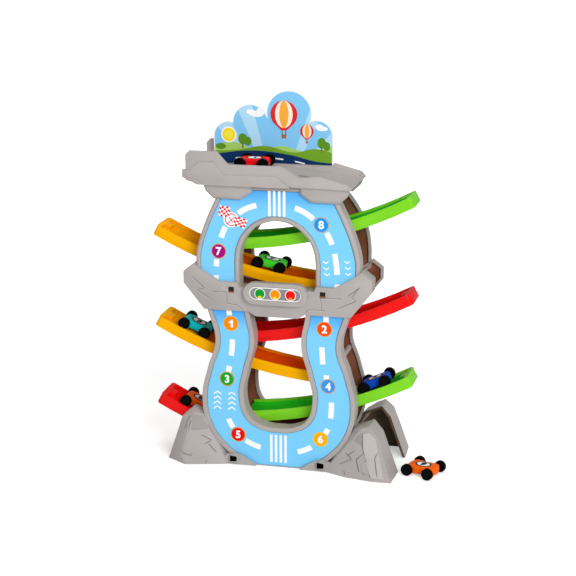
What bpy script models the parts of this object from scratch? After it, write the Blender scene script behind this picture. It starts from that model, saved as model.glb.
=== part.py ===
"""Toy car tower: six curved ramps between two road panels, a launch deck on top and six flip cars.

The tower's own frame has x to the right, y to the back and z up, with its mid-plane at y = 0.
The whole tower is then moved back, so that the world's origin lies on the floor, under the
middle of the front panel's foot.
"""
from math import asin, atan2, cos, degrees, pi, radians, sin, sqrt

import bmesh
import bpy
from mathutils import Matrix, Vector

# Depths of the tower, measured from its mid-plane
PANEL_FACE = 0.033
RIM_RAISE = 0.002
RIM_WIDTH = 0.0055
PANEL_WALL = 0.003
SEAT_GAP = 0.0003
CUT_REACH = 0.1
RAMP_MID_Y = 0.006
RAMP_WIDTH = 0.045
RAMP_SIDE_GAP = 0.0005
FRONT_INNER = RAMP_MID_Y - RAMP_WIDTH / 2 - RAMP_SIDE_GAP
BACK_INNER = RAMP_MID_Y + RAMP_WIDTH / 2 + RAMP_SIDE_GAP
FRONT_RIM = -PANEL_FACE - RIM_RAISE
BACK_RIM = PANEL_FACE + RIM_RAISE
TOWER_MID_Y = -(FRONT_RIM + FRONT_INNER) / 2

# Upper arches, as half-widths and heights; the back one has rounder shoulders
ARCH_HALF_WIDTH = 0.0975
ARCH_SPRING_Z = 0.252
ARCH_TOP_Z = 0.3392
ARCH_SHOULDER_DROP = 0.0339
ARCH_POWER = 1.45
BACK_SHOULDER_DROP = 0.043
BACK_POWER = 2.2
ARCH_STEPS = 8
WINDOW_HALF_WIDTH = 0.045
WINDOW_SPRING_Z = 0.250
WINDOW_RISE = 0.048
WINDOW_STEPS = 16

# Belt between the arch and the lower loop
BELT_RAISE = 0.003
BELT_HALF_WIDTH = 0.112
BELT_WING_TOP_X = 0.0995
BELT_WING_TOP_Z = 0.2445
BELT_WING_CORNER_Z = 0.235
BELT_WING_LOW_Z = 0.221
BELT_STEP_X = 0.0916
BELT_STEP_Z = 0.238
BELT_DIP_X = 0.0685
BELT_DIP_Z = 0.2245
BELT_SILL_Z = 0.219
BELT_SILL_RUN = 0.0015
ARCH_FOOT_GAP = 0.0004
BELT_FOOT_X = 0.0875
BELT_FOOT_Z = 0.1905
BELT_KEEL_Z = 0.1855
BELT_KEEL_X = 0.025
BELT_KEEL_RUN = 0.0085
BELT_HOLE_X = 0.0544
BELT_HOLE_Z = 0.2155
BELT_HOLE = 0.006

# Traffic light on the belt
LIGHT_HALF_WIDTH = 0.038
LIGHT_Z = 0.2145
LIGHT_HEIGHT = 0.026
LIGHT_FACE = 0.045
LIGHT_PLATE_LENGTH = 0.062
LIGHT_PLATE_HEIGHT = 0.0165
LIGHT_PLATE_THICKNESS = 0.0012
LIGHT_RECESS = 0.0018
ROUND_STEPS = 8

# Lower loop, key points of its outer edge and of its window, from the belt down to the floor
LOOP_OUTER = [(0.0846, 0.1902), (0.0752, 0.152), (0.0849, 0.119), (0.0925, 0.082),
              (0.0855, 0.044), (0.064, 0.016), (0.040, 0.0)]
LOOP_INNER = [(0.034, 0.1902), (0.0283, 0.152), (0.0370, 0.115), (0.0418, 0.086),
              (0.0340, 0.060), (0.017, 0.0503), (0.0, 0.0487)]
LOOP_STEPS = 2

# Printed road labels
LABEL_THICKNESS = 0.0004
ROAD_REACH = 0.008
ARCH_FOOT_BELOW = 0.236
LOOP_FOOT_BELOW = 0.001

# Ramps: all six share one arc, mirrored in turn
RAMP_RADIUS = 0.484
RAMP_CENTRE_U = -0.080
RAMP_END_U = 0.150
RAMP_HEIGHT = 0.013
RAMP_WALL = 0.0022
RAMP_FLOOR_DEPTH = 0.003
RAMP_FLOOR_THICKNESS = 0.002
RAMP_STEPS = 10
BLOCK_LENGTH = 0.013
BLOCK_NOTCH = 0.007
BLOCK_TONGUE = 0.013
BLOCK_CORNER = 0.005
BLOCK_CORNER_STEPS = 3
PEG_RADIUS = 0.0022
PEG_INSET = 0.005
PEG_HIGH_U = 0.066
BOSS_WALL = 0.002
PEG_CLEARANCE = 0.0003
PEG_SIDES = 10
BOSS_ROOT = 0.0008
BOSS_SUNK = 0.0002
RAMPS = [
    # name, side of its high end, lowest height of its wall top, where its low end lies
    ("ramp_1_green", 1, 0.2716, -0.056),
    ("ramp_2_yellow", -1, 0.2254, -0.056),
    ("ramp_3_red", 1, 0.1583, -0.048),
    ("ramp_4_yellow", -1, 0.1141, -0.056),
    ("ramp_5_green", 1, 0.0592, -0.046),
    ("ramp_6_red", -1, 0.0165, -0.046),
]

# Posts that tie the front panels to the back ones, as x and z, with their screws
POST_RADIUS = 0.0035
POST_END = BACK_RIM - PANEL_WALL - SEAT_GAP
POST_SIDES = 12
POSTS_UPPER = [(-0.030, 0.320), (0.030, 0.320)]
POSTS_BELT = [(-0.076, 0.212), (0.076, 0.212)]
POSTS_LOWER = [(0.0712, 0.134), (-0.046, 0.013), (0.070, 0.045)]
SCREW_LENGTH = 0.012
SCREW_RADIUS = 0.0013
SCREW_HEAD_RADIUS = 0.0032
SCREW_HEAD_HEIGHT = 0.0015
SCREW_HEAD_CROWN = 0.8
SCREW_CLEARANCE = 0.0003
SCREW_TIP = BACK_RIM + SEAT_GAP - SCREW_LENGTH

# Launch deck
DECK_HALF_DEPTH = 0.044
DECK_WALL = 0.004
DECK_BAND_RAISE = 0.002
DECK_BAND_ROOT = 0.003
DECK_BOTTOM_Z = 0.3395
DECK_FLOOR_Z = 0.3517
DECK_EXIT_Z = 0.3420
DECK_LEFT_X = -0.1047
DECK_SLOPE_X = 0.005
DECK_RIGHT_X = 0.088
DECK_BLOCK_TOP_Z = 0.378
DECK_BLOCK_CORNER = 0.0045
DECK_BLOCK_RIGHT_X = -0.068
DECK_BLOCK_FALL = 0.0134
DECK_RAIL_Z = 0.3635
DECK_RAIL_RIGHT_X = 0.0084
DECK_DIP_X = 0.0288
DECK_DIP_Z = 0.3515
DECK_HUMP_X = 0.052
DECK_HUMP_Z = 0.354
DECK_TAIL_X = 0.0836
DECK_TAIL_Z = 0.3458
# Level ledge at the scene plate's foot, beside the lane that tips down
DECK_LEDGE_Y = 0.0254
DECK_LEDGE_Z = 0.3536
DECK_LEDGE_TAIL_Z = 0.3452
BAND_LEFT_X = -0.1083
BAND_LEFT_TOP_Z = 0.3563
BAND_LEFT_LOW_Z = 0.3477
BAND_FOOT_X = -0.091
BAND_BLOCK_LEFT_X = -0.0883
BAND_BLOCK_RIGHT_X = -0.0706
BAND_BLOCK_TOP_Z = 0.366
BAND_RAIL_X = -0.059
BAND_RAIL_Z = 0.352
BAND_RIGHT_X = 0.0041
BAND_END_X = 0.0175
SHOULDER_PROUD = 0.005
SHOULDER_INNER_X = 0.028
SHOULDER_INNER_Z = 0.332
SHOULDER_LOW_Z = 0.3226
SHOULDER_LOW_X = 0.041
SHOULDER_LOW_END_X = 0.074
SHOULDER_OUTER_X = 0.083
SHOULDER_OUTER_Z = 0.331
SHOULDER_TOP_X = 0.0875
SHOULDER_ROOT = 0.003

# Scene plate that stands in a slot of the deck
PLATE_Y = 0.031
PLATE_THICKNESS = 0.002
PLATE_FOOT_Z = 0.3455
PLATE_SLOT_GAP = 0.0003
PLATE_LEFT_X = -0.0925
PLATE_RIGHT_X = 0.0515
# Bumps of the plate's top edge from left to right: centre x, centre z, radius
PLATE_BUMPS = [(-0.0745, 0.3835, 0.0180), (-0.0475, 0.4002, 0.0220), (-0.0010, 0.4122, 0.0275),
               (0.0325, 0.3870, 0.0190)]
BUMP_STEPS = 9

# Rocks at the foot, their corners as x away from the middle, depth away from the middle and z.
# A depth of None lies on the rock's flat inner side.
ROCK_LEFT = [(0.1363, None, 0.0), (0.1363, 0.0357, 0.0), (0.1102, 0.0526, 0.0),
             (0.0620, 0.0400, 0.0), (0.0520, None, 0.0), (0.1182, 0.0330, 0.0545),
             (0.1182, None, 0.0545), (0.1065, 0.0250, 0.0645), (0.1065, None, 0.0645),
             (0.1030, 0.0345, 0.0600), (0.0900, 0.0330, 0.0586), (0.0880, None, 0.0586),
             (0.1078, 0.0440, 0.0462), (0.0900, 0.0400, 0.0400), (0.1161, 0.0500, 0.0138)]
ROCK_RIGHT = [(0.1412, None, 0.0), (0.1406, 0.0354, 0.0), (0.1391, 0.0560, 0.0),
              (0.1175, 0.0562, 0.0), (0.0850, 0.0500, 0.0), (0.0560, 0.0375, 0.0),
              (0.0520, None, 0.0), (0.1125, 0.0330, 0.0635), (0.1125, None, 0.0635),
              (0.1118, 0.0460, 0.0630), (0.1022, 0.0440, 0.0595), (0.0915, 0.0330, 0.0545),
              (0.0900, None, 0.0545), (0.1233, 0.0330, 0.0506), (0.1233, None, 0.0506),
              (0.1212, 0.0490, 0.0535), (0.1268, 0.0515, 0.0380), (0.1286, 0.0330, 0.0366)]
ROCK_WALL = 0.003
HOLLOW_BLOCK = 1.0
SQUARE_ON = 0.99
PLANE_DIGITS = 5
ROCK_BOSS_X = 0.053
ROCK_BOSS_Z = 0.0085
ROCK_BOSS_RADIUS = 0.0062
ROCK_BOSS_FACE = 0.0385
ROCK_BOSS_HOLE = 0.0046
ROCK_BOSS_HOLE_DEPTH = 0.002
TONGUE_TIP_X = 0.027
TONGUE_TOP_X = 0.045
TONGUE_TOP_Z = 0.0125
TONGUE_ROOT_X = 0.075
TONGUE_LIP_Z = 0.002

# Flip cars, the same both ways up
CAR_WHEELBASE = 0.0272
CAR_TRACK = 0.0318
WHEEL_RADIUS = 0.0069
WHEEL_WIDTH = 0.006
WHEEL_SIDES = 12
WHEEL_CHAMFER = 0.0008
WHEEL_DISH_RADIUS = 0.0044
WHEEL_DISH_DEPTH = 0.001
AXLE_RADIUS = 0.0011
AXLE_SIDES = 8
AXLE_CLEARANCE = 0.0003
BODY_LENGTH = 0.0350
BODY_HALF_WIDTH = 0.0120
BODY_WAIST = 0.0082
BODY_HEIGHT = 0.0098
BODY_PARTING = 0.0003
BODY_CORNER = 0.0022
BODY_STEPS = 5
BODY_END_POWER = 4
BODY_WAIST_REACH = 0.56
TRACK_GAP = 0.0003

# Where each car stands: ramp index with the car's middle as u, or a place on deck or floor
RAMP_CARS = [("green_car", 1, 0.0166), ("teal_car", 3, 0.109), ("blue_car", 4, 0.110),
             ("orange_car", 5, 0.109)]
DECK_CAR_X = -0.0363
FLOOR_CAR_X = 0.171
FLOOR_CAR_Y = -0.016
FLOOR_CAR_YAW = -20.0

# Finishes: colour, roughness, metallic
FINISHES = {
    "stone_grey": ((0.47, 0.43, 0.42), 0.45, 0.0),
    "road_blue": ((0.24, 0.68, 1.0), 0.40, 0.0),
    "light_dark": ((0.09, 0.10, 0.11), 0.35, 0.0),
    "plate_print": ((0.35, 0.70, 0.95), 0.35, 0.0),
    "track_green": ((0.21, 0.68, 0.03), 0.30, 0.0),
    "track_yellow": ((1.0, 0.46, 0.0), 0.30, 0.0),
    "track_red": ((0.80, 0.01, 0.01), 0.30, 0.0),
    "car_red": ((0.75, 0.01, 0.02), 0.30, 0.0),
    "car_green": ((0.04, 0.45, 0.03), 0.30, 0.0),
    "car_teal": ((0.01, 0.40, 0.36), 0.30, 0.0),
    "car_blue": ((0.01, 0.06, 0.38), 0.30, 0.0),
    "car_orange": ((1.0, 0.14, 0.01), 0.30, 0.0),
    "wheel_black": ((0.02, 0.02, 0.02), 0.50, 0.0),
    "axle_steel": ((0.60, 0.60, 0.60), 0.30, 1.0),
}


# Scene, materials and objects

def clear_scene():
    """Remove every object that the file starts with."""
    for thing in list(bpy.data.objects):
        bpy.data.objects.remove(thing, do_unlink=True)


def finish(name):
    """Return the material of one finish, made on first use."""
    material = bpy.data.materials.get(name)
    if material is None:
        colour, roughness, metallic = FINISHES[name]
        material = bpy.data.materials.new(name)
        material.use_nodes = True
        shader = material.node_tree.nodes["Principled BSDF"]
        shader.inputs["Base Color"].default_value = (*colour, 1.0)
        shader.inputs["Roughness"].default_value = roughness
        shader.inputs["Metallic"].default_value = metallic
    return material


def frame_empty(name, place, parent=None, turn_y=0.0, turn_z=0.0):
    """Add an empty that carries other objects."""
    empty = bpy.data.objects.new(name, None)
    bpy.context.collection.objects.link(empty)
    empty.location = place
    empty.rotation_euler = (0.0, turn_y, turn_z)
    empty.parent = parent
    return empty


def add_object(name, bm, parent, finish_name=None):
    """Turn a bmesh into an object with outward faces."""
    bmesh.ops.recalc_face_normals(bm, faces=bm.faces)
    mesh = bpy.data.meshes.new(name)
    bm.to_mesh(mesh)
    bm.free()
    thing = bpy.data.objects.new(name, mesh)
    bpy.context.collection.objects.link(thing)
    thing.parent = parent
    if finish_name is not None:
        mesh.materials.append(finish(finish_name))
    return thing


def add_tool(name, bm, parent):
    """Turn a bmesh into an operand of a Boolean, which isn't part of the model."""
    tool = add_object(name, bm, parent)
    tool.hide_render = True
    tool.display_type = "WIRE"
    return tool


def combine(target, tool, operation):
    """Give the target one more exact Boolean with the tool."""
    modifier = target.modifiers.new(tool.name, "BOOLEAN")
    modifier.operation = operation
    modifier.solver = "EXACT"
    modifier.object = tool


def smooth(thing, angle=35.0):
    """Shade a round piece smooth, with edges sharper than the angle kept."""
    thing.data.shade_smooth()
    thing.data.set_sharp_from_angle(angle=radians(angle))


# Outlines in the plane of x and z

def mirrored(right_side):
    """Close an outline whose right side runs from the top middle to the bottom middle."""
    left_side = [(-x, z) for x, z in reversed(right_side) if abs(x) > 1e-9]
    return right_side + left_side


def smooth_run(points, steps):
    """Run a curve through the key points, with some steps in each span."""
    run = []
    for index in range(len(points) - 1):
        before = Vector(points[max(index - 1, 0)])
        start = Vector(points[index])
        end = Vector(points[index + 1])
        after = Vector(points[min(index + 2, len(points) - 1)])
        for step in range(steps):
            t = step / steps
            bend = (2 * start + (end - before) * t
                    + (2 * before - 5 * start + 4 * end - after) * t ** 2
                    + (3 * start - before - 3 * end + after) * t ** 3) / 2
            run.append((bend.x, bend.y))
    run.append(points[-1])
    return run


def area_sign(outline):
    """Return 1 where the outline runs anticlockwise, otherwise -1."""
    total = 0.0
    for (x0, z0), (x1, z1) in zip(outline, outline[1:] + outline[:1]):
        total += x0 * z1 - x1 * z0
    return 1 if total > 0 else -1


def inset(outline, distance):
    """Move every edge of a closed outline inwards by the distance, or outwards if it is negative."""
    turn = area_sign(outline)
    moved = []
    count = len(outline)
    for index, point in enumerate(outline):
        here = Vector(point)
        to_here = (here - Vector(outline[index - 1])).normalized()
        from_here = (Vector(outline[(index + 1) % count]) - here).normalized()
        normal_in = Vector((-to_here.y, to_here.x)) * turn
        normal_out = Vector((-from_here.y, from_here.x)) * turn
        middle = normal_in + normal_out
        moved_point = here + middle * (2 * distance / middle.length_squared)
        moved.append((moved_point.x, moved_point.y))
    return moved


def arc(centre, radius, start, end, steps):
    """Return points on an arc, both ends included, with angles in degrees."""
    angles = [radians(start + (end - start) * step / steps) for step in range(steps + 1)]
    return [(centre[0] + radius * cos(a), centre[1] + radius * sin(a)) for a in angles]


def stadium(length, height, centre_z):
    """Return a slot outline with round ends."""
    radius = height / 2
    reach = length / 2 - radius
    right = arc((reach, centre_z), radius, -90, 90, ROUND_STEPS)
    left = arc((-reach, centre_z), radius, 90, 270, ROUND_STEPS)
    return right + left


def box_outline(x0, x1, z0, z1):
    """Return a rectangle."""
    return [(x0, z0), (x1, z0), (x1, z1), (x0, z1)]


def arch_half_width(z, drop, power):
    """Return an arch's half-width at a height."""
    if z <= ARCH_SPRING_Z:
        return ARCH_HALF_WIDTH
    share = (z - ARCH_SPRING_Z) / (ARCH_TOP_Z - ARCH_SPRING_Z)
    return ARCH_HALF_WIDTH - drop * share ** power


def belt_top_edge():
    """Return the right half of the belt's top edge, from the wing's tip to the middle."""
    return [(BELT_WING_TOP_X, BELT_WING_TOP_Z), (BELT_STEP_X, BELT_STEP_Z),
            (BELT_DIP_X, BELT_DIP_Z), (WINDOW_HALF_WIDTH + BELT_SILL_RUN, BELT_DIP_Z),
            (WINDOW_HALF_WIDTH, BELT_SILL_Z)]


def belt_outline():
    """Return the belt's outline."""
    lower = [(BELT_KEEL_X, BELT_KEEL_Z), (BELT_KEEL_X + BELT_KEEL_RUN, BELT_FOOT_Z),
             (BELT_FOOT_X, BELT_FOOT_Z), (BELT_HALF_WIDTH, BELT_WING_LOW_Z),
             (BELT_HALF_WIDTH, BELT_WING_CORNER_Z)]
    right = list(reversed(lower + belt_top_edge()))
    return mirrored(right)


def arch_outline(drop, power):
    """Return an arch's outline: over the top, down the legs and round the window."""
    foot = [(x, z + ARCH_FOOT_GAP) for x, z in belt_top_edge()]
    (tip_x, tip_z), (step_x, step_z) = foot[0], foot[1]
    share = (ARCH_HALF_WIDTH - step_x) / (tip_x - step_x)
    leg_foot = (ARCH_HALF_WIDTH, step_z + (tip_z - step_z) * share)
    rise = ARCH_TOP_Z - ARCH_SPRING_Z
    heights = [ARCH_TOP_Z - rise * step / ARCH_STEPS for step in range(ARCH_STEPS + 1)]
    outer = [(arch_half_width(z, drop, power), z) for z in heights]
    window = [(WINDOW_HALF_WIDTH * cos(a), WINDOW_SPRING_Z + WINDOW_RISE * sin(a))
              for a in (pi / 2 * step / (WINDOW_STEPS // 2) for step in range(WINDOW_STEPS // 2 + 1))]
    sill = (WINDOW_HALF_WIDTH, foot[2][1])
    right = outer + [leg_foot] + foot[1:3] + [sill] + window
    return mirrored(right)


def loop_outline():
    """Return the lower loop's outline: down both legs, along the floor and round the window."""
    outer = smooth_run(LOOP_OUTER, LOOP_STEPS)
    inner = smooth_run(LOOP_INNER, LOOP_STEPS)
    right = list(reversed(inner)) + outer
    return mirrored(right)


# Solids

def prism_mesh(outline, front, back, bm=None):
    """Extrude an outline of x and z from one depth to another."""
    bm = bm or bmesh.new()
    face = bm.faces.new([bm.verts.new((x, front, z)) for x, z in outline])
    swept = bmesh.ops.extrude_face_region(bm, geom=[face])
    moved = [item for item in swept["geom"] if isinstance(item, bmesh.types.BMVert)]
    bmesh.ops.translate(bm, verts=moved, vec=(0.0, back - front, 0.0))
    return bm


def bar_mesh(x, z, radius, front, back, sides, bm=None):
    """Add a round bar along y."""
    bm = bm or bmesh.new()
    middle = Matrix.Translation((x, (front + back) / 2, z)) @ Matrix.Rotation(pi / 2, 4, "X")
    bmesh.ops.create_cone(bm, cap_ends=True, segments=sides, radius1=radius, radius2=radius,
                          depth=back - front, matrix=middle)
    return bm


def reached(outline, below, above):
    """Stretch an outline's ends, so that a road runs out under the belt and at the floor without a rim."""
    return [(x, z - ROAD_REACH if z < below else z + ROAD_REACH if z >= above else z) for x, z in outline]


def tray_mesh(outline, face_y, inner_y, rim_raise):
    """Make an open-backed shell whose face is thick enough to sink a road into it by rim_raise.

    face_y is the rim's depth, and inner_y is the depth of the open edge.
    """
    ahead = 1 if inner_y > face_y else -1
    hollow = inset(outline, PANEL_WALL)
    rings = [(outline, face_y), (outline, inner_y), (hollow, inner_y),
             (hollow, face_y + ahead * (rim_raise + PANEL_WALL))]
    bm = bmesh.new()
    loops = [[bm.verts.new((x, y, z)) for x, z in ring] for ring, y in rings]
    for first, second in zip(loops, loops[1:]):
        count = len(first)
        for index in range(count):
            following = (index + 1) % count
            bm.faces.new((first[index], first[following], second[following], second[index]))
    bm.faces.new(loops[0])
    bm.faces.new(loops[-1])
    return bm


# Where the ramps lie

def ramp_angle(u):
    """Return the ramp's slope angle at a distance u from the middle, towards its high end."""
    return asin((u - RAMP_CENTRE_U) / RAMP_RADIUS)


def ramp_centre(ramp):
    """Return x and z of the ramp's arc centre."""
    name, side, z_low, low_u = ramp
    return side * RAMP_CENTRE_U, z_low + RAMP_RADIUS


def ramp_pegs(ramp):
    """Return x and z of the ramp's two pegs, on the middle of its side wall."""
    name, side, z_low, low_u = ramp
    pegs = []
    for u in (low_u + PEG_INSET, PEG_HIGH_U):
        angle = ramp_angle(u)
        depth = RAMP_RADIUS + RAMP_HEIGHT / 2
        pegs.append((side * (RAMP_CENTRE_U + depth * sin(angle)), z_low + RAMP_RADIUS - depth * cos(angle)))
    return pegs


# Panels

def add_bosses(panel, pegs, posts, wall_y, inner_y, parent):
    """Join the bosses for the ramps' pegs to a panel, and the posts that reach the back panel."""
    if not pegs and not posts:
        return
    ahead = 1 if inner_y > wall_y else -1
    root = wall_y - ahead * BOSS_ROOT
    bosses = bmesh.new()
    bores = bmesh.new()
    for x, z in pegs:
        low, high = sorted((root, inner_y - ahead * BOSS_SUNK))
        bar_mesh(x, z, PEG_RADIUS + PEG_CLEARANCE + BOSS_WALL, low, high, PEG_SIDES, bosses)
        low, high = sorted((wall_y + ahead * BOSS_SUNK, inner_y + ahead * BOSS_ROOT))
        bar_mesh(x, z, PEG_RADIUS + PEG_CLEARANCE, low, high, PEG_SIDES, bores)
    for x, z in posts:
        bar_mesh(x, z, POST_RADIUS, root, POST_END, POST_SIDES, bosses)
        bar_mesh(x, z, SCREW_RADIUS + SCREW_CLEARANCE, SCREW_TIP - SEAT_GAP, BACK_RIM, PEG_SIDES, bores)
    combine(panel, add_tool(panel.name + "_bosses", bosses, parent), "UNION")
    combine(panel, add_tool(panel.name + "_bores", bores, parent), "DIFFERENCE")


def inside(point, outline, margin):
    """Say whether a point lies inside an outline, clear of its edge by the margin."""
    x, z = point
    hits = 0
    for (x0, z0), (x1, z1) in zip(outline, outline[1:] + outline[:1]):
        if (z0 > z) != (z1 > z) and x < x0 + (x1 - x0) * (z - z0) / (z1 - z0):
            hits += 1
        edge = Vector((x1 - x0, z1 - z0))
        share = max(0.0, min(1.0, Vector((x - x0, z - z0)).dot(edge) / edge.length_squared))
        if (Vector((x - x0, z - z0)) - edge * share).length < margin:
            return False
    return hits % 2 == 1


def screw_holes(name, posts, parent):
    """Return the cutters for the screws' shanks and heads in a back panel."""
    bm = bmesh.new()
    for x, z in posts:
        bar_mesh(x, z, SCREW_RADIUS + SCREW_CLEARANCE, POST_END, BACK_RIM + PANEL_WALL, PEG_SIDES, bm)
    return add_tool(name + "_screw_holes", bm, parent)


def front_panel(name, outline, pegs, posts, frame, rim_raise=RIM_RAISE, face_y=FRONT_RIM):
    """Build one front shell with the bosses that hold the ramps' pegs, and its posts."""
    panel = add_object(name, tray_mesh(outline, face_y, FRONT_INNER, rim_raise), frame, "stone_grey")
    add_bosses(panel, pegs, posts, face_y + rim_raise + PANEL_WALL, FRONT_INNER, frame)
    return panel


def back_panel(name, outline, pegs, posts, frame, face_y=BACK_RIM):
    """Build one back shell with its bosses and its screw holes."""
    panel = add_object(name, tray_mesh(outline, face_y, BACK_INNER, 0.0), frame, "stone_grey")
    add_bosses(panel, pegs, [], face_y - PANEL_WALL, BACK_INNER, frame)
    combine(panel, screw_holes(name, posts, frame), "DIFFERENCE")
    return panel


def build_panels(frame):
    """Build the two arches, the two lower loops and the labels in their sunk faces."""
    pegs = [peg for ramp in RAMPS for peg in ramp_pegs(ramp)]
    boss_margin = PEG_RADIUS + PEG_CLEARANCE + BOSS_WALL
    arches = arch_outline(ARCH_SHOULDER_DROP, ARCH_POWER), arch_outline(BACK_SHOULDER_DROP, BACK_POWER)
    shapes = {"upper": (*arches, POSTS_UPPER), "lower": (loop_outline(), loop_outline(), POSTS_LOWER)}
    ends = {"upper": (ARCH_FOOT_BELOW, ARCH_TOP_Z + ROAD_REACH), "lower": (LOOP_FOOT_BELOW, LOOP_OUTER[0][1])}
    for level, (outline, back_outline, posts) in shapes.items():
        held = [peg for peg in pegs if inside(peg, outline, boss_margin)]
        panel = front_panel(level + "_front_panel", outline, held, posts, frame)
        back_panel(level + "_back_panel", back_outline, held, posts, frame)
        longer = reached(outline, *ends[level])
        road = prism_mesh(inset(longer, RIM_WIDTH), FRONT_RIM - RIM_RAISE, -PANEL_FACE)
        combine(panel, add_tool(level + "_road", road, frame), "DIFFERENCE")
        label_back = -PANEL_FACE - SEAT_GAP
        label_front = label_back - LABEL_THICKNESS
        label = add_object("road_label_" + level, prism_mesh(inset(outline, SEAT_GAP), label_front, label_back),
                           frame, "road_blue")
        trim = prism_mesh(inset(longer, RIM_WIDTH + SEAT_GAP), label_front - RIM_RAISE, label_back + RIM_RAISE)
        combine(label, add_tool(level + "_label_trim", trim, frame), "INTERSECT")


def build_belts(frame):
    """Build the front belt with its traffic light housing and the plain back belt."""
    outline = belt_outline()
    pegs = [peg for ramp in RAMPS for peg in ramp_pegs(ramp)]
    boss_margin = PEG_RADIUS + PEG_CLEARANCE + BOSS_WALL
    held = [peg for peg in pegs if inside(peg, outline, boss_margin)]
    face = -PANEL_FACE - RIM_RAISE - BELT_RAISE
    belt = front_panel("belt_front", outline, held, POSTS_BELT, frame, rim_raise=0.0, face_y=face)
    housing = stadium(2 * LIGHT_HALF_WIDTH, LIGHT_HEIGHT, LIGHT_Z)
    combine(belt, add_tool("belt_housing", prism_mesh(housing, -LIGHT_FACE, face + PANEL_WALL / 2), frame),
            "UNION")
    seat = stadium(LIGHT_PLATE_LENGTH + 2 * SEAT_GAP, LIGHT_PLATE_HEIGHT + 2 * SEAT_GAP, LIGHT_Z)
    holes = prism_mesh(seat, -LIGHT_FACE - LIGHT_RECESS, -LIGHT_FACE + LIGHT_RECESS)
    for side in (-1, 1):
        middle = side * BELT_HOLE_X
        square = box_outline(middle - BELT_HOLE / 2, middle + BELT_HOLE / 2,
                             BELT_HOLE_Z - BELT_HOLE / 2, BELT_HOLE_Z + BELT_HOLE / 2)
        prism_mesh(square, face - PANEL_WALL, face + 2 * PANEL_WALL, holes)
    combine(belt, add_tool("belt_recesses", holes, frame), "DIFFERENCE")
    back_panel("belt_back", outline, held, POSTS_BELT, frame)
    plate_back = -LIGHT_FACE + LIGHT_RECESS - SEAT_GAP
    plate = prism_mesh(stadium(LIGHT_PLATE_LENGTH, LIGHT_PLATE_HEIGHT, LIGHT_Z),
                       plate_back - LIGHT_PLATE_THICKNESS, plate_back)
    add_object("traffic_light_plate", plate, frame, "light_dark")


def build_screws(frame):
    """Build the screws that hold the back panels on the front panels' posts."""
    head_front = BACK_RIM + SEAT_GAP
    head_back = head_front + SCREW_HEAD_HEIGHT
    profile = [(0.0, SCREW_TIP), (SCREW_RADIUS, SCREW_TIP + SCREW_RADIUS), (SCREW_RADIUS, head_front),
               (SCREW_HEAD_RADIUS, head_front), (SCREW_HEAD_RADIUS * SCREW_HEAD_CROWN, head_back),
               (0.0, head_back)]
    for number, place in enumerate(POSTS_UPPER + POSTS_BELT + POSTS_LOWER, start=1):
        name = "assembly_screw_" + str(number)
        smooth(add_object(name, turned_mesh(profile, place, AXLE_SIDES), frame, "axle_steel"))


def turned_mesh(profile, centre, sides, bm=None):
    """Turn a profile of radius and y about an axis along y through the centre's x and z."""
    bm = bm or bmesh.new()
    x, z = centre
    before = set(bm.verts)
    ring = [bm.verts.new((x + radius, y, z)) for radius, y in profile]
    edges = [bm.edges.new(pair) for pair in zip(ring, ring[1:])]
    if profile[0][0] > 0:
        edges.append(bm.edges.new((ring[-1], ring[0])))
    bmesh.ops.spin(bm, geom=ring + edges, cent=(x, 0.0, z), axis=(0.0, 1.0, 0.0), angle=2 * pi,
                   steps=sides, use_merge=True, use_duplicate=False)
    fresh = [vert for vert in bm.verts if vert not in before]
    bmesh.ops.remove_doubles(bm, verts=fresh, dist=1e-6)
    return bm


# Ramps

def ramp_section():
    """Return the ramp's section as y and height over its wall top: a channel on a hollow skirt."""
    half = RAMP_WIDTH / 2
    inner = half - RAMP_WALL
    floor = -RAMP_FLOOR_DEPTH
    under = floor - RAMP_FLOOR_THICKNESS
    return [(-half, 0.0), (-inner, 0.0), (-inner, floor), (inner, floor), (inner, 0.0), (half, 0.0),
            (half, -RAMP_HEIGHT), (inner, -RAMP_HEIGHT), (inner, under), (-inner, under),
            (-inner, -RAMP_HEIGHT), (-half, -RAMP_HEIGHT)]


def ramp_channel_mesh(low_angle, high_angle):
    """Spin the section about the arc's centre, which is the origin here."""
    bm = bmesh.new()
    verts = [bm.verts.new((0.0, y, -RAMP_RADIUS + height)) for y, height in ramp_section()]
    face = bm.faces.new(verts)
    start = Matrix.Rotation(-low_angle, 3, "Y")
    bmesh.ops.rotate(bm, verts=verts, cent=(0, 0, 0), matrix=start)
    bmesh.ops.spin(bm, geom=[face], cent=(0, 0, 0), axis=(0, -1, 0), angle=high_angle - low_angle,
                   steps=RAMP_STEPS, use_duplicate=False)
    return bm


def block_mesh(end_angle):
    """Make the ramp's closed end: a round-cornered block with a tongue between two notches."""
    half = RAMP_WIDTH / 2
    tongue = BLOCK_TONGUE / 2
    corner = BLOCK_CORNER
    near = arc((-corner, -half + corner), corner, -90, 0, BLOCK_CORNER_STEPS)
    far = arc((-corner, half - corner), corner, 0, 90, BLOCK_CORNER_STEPS)
    notch = -BLOCK_LENGTH + BLOCK_NOTCH
    plan = near + far + [(notch, half), (notch, tongue), (-BLOCK_LENGTH, tongue),
                         (-BLOCK_LENGTH, -tongue), (notch, -tongue), (notch, -half)]
    bm = bmesh.new()
    face = bm.faces.new([bm.verts.new((s, y, -RAMP_RADIUS)) for s, y in plan])
    swept = bmesh.ops.extrude_face_region(bm, geom=[face])
    moved = [item for item in swept["geom"] if isinstance(item, bmesh.types.BMVert)]
    bmesh.ops.translate(bm, verts=moved, vec=(0.0, 0.0, -RAMP_HEIGHT))
    bmesh.ops.rotate(bm, verts=bm.verts, cent=(0, 0, 0), matrix=Matrix.Rotation(-end_angle, 3, "Y"))
    return bm


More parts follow.
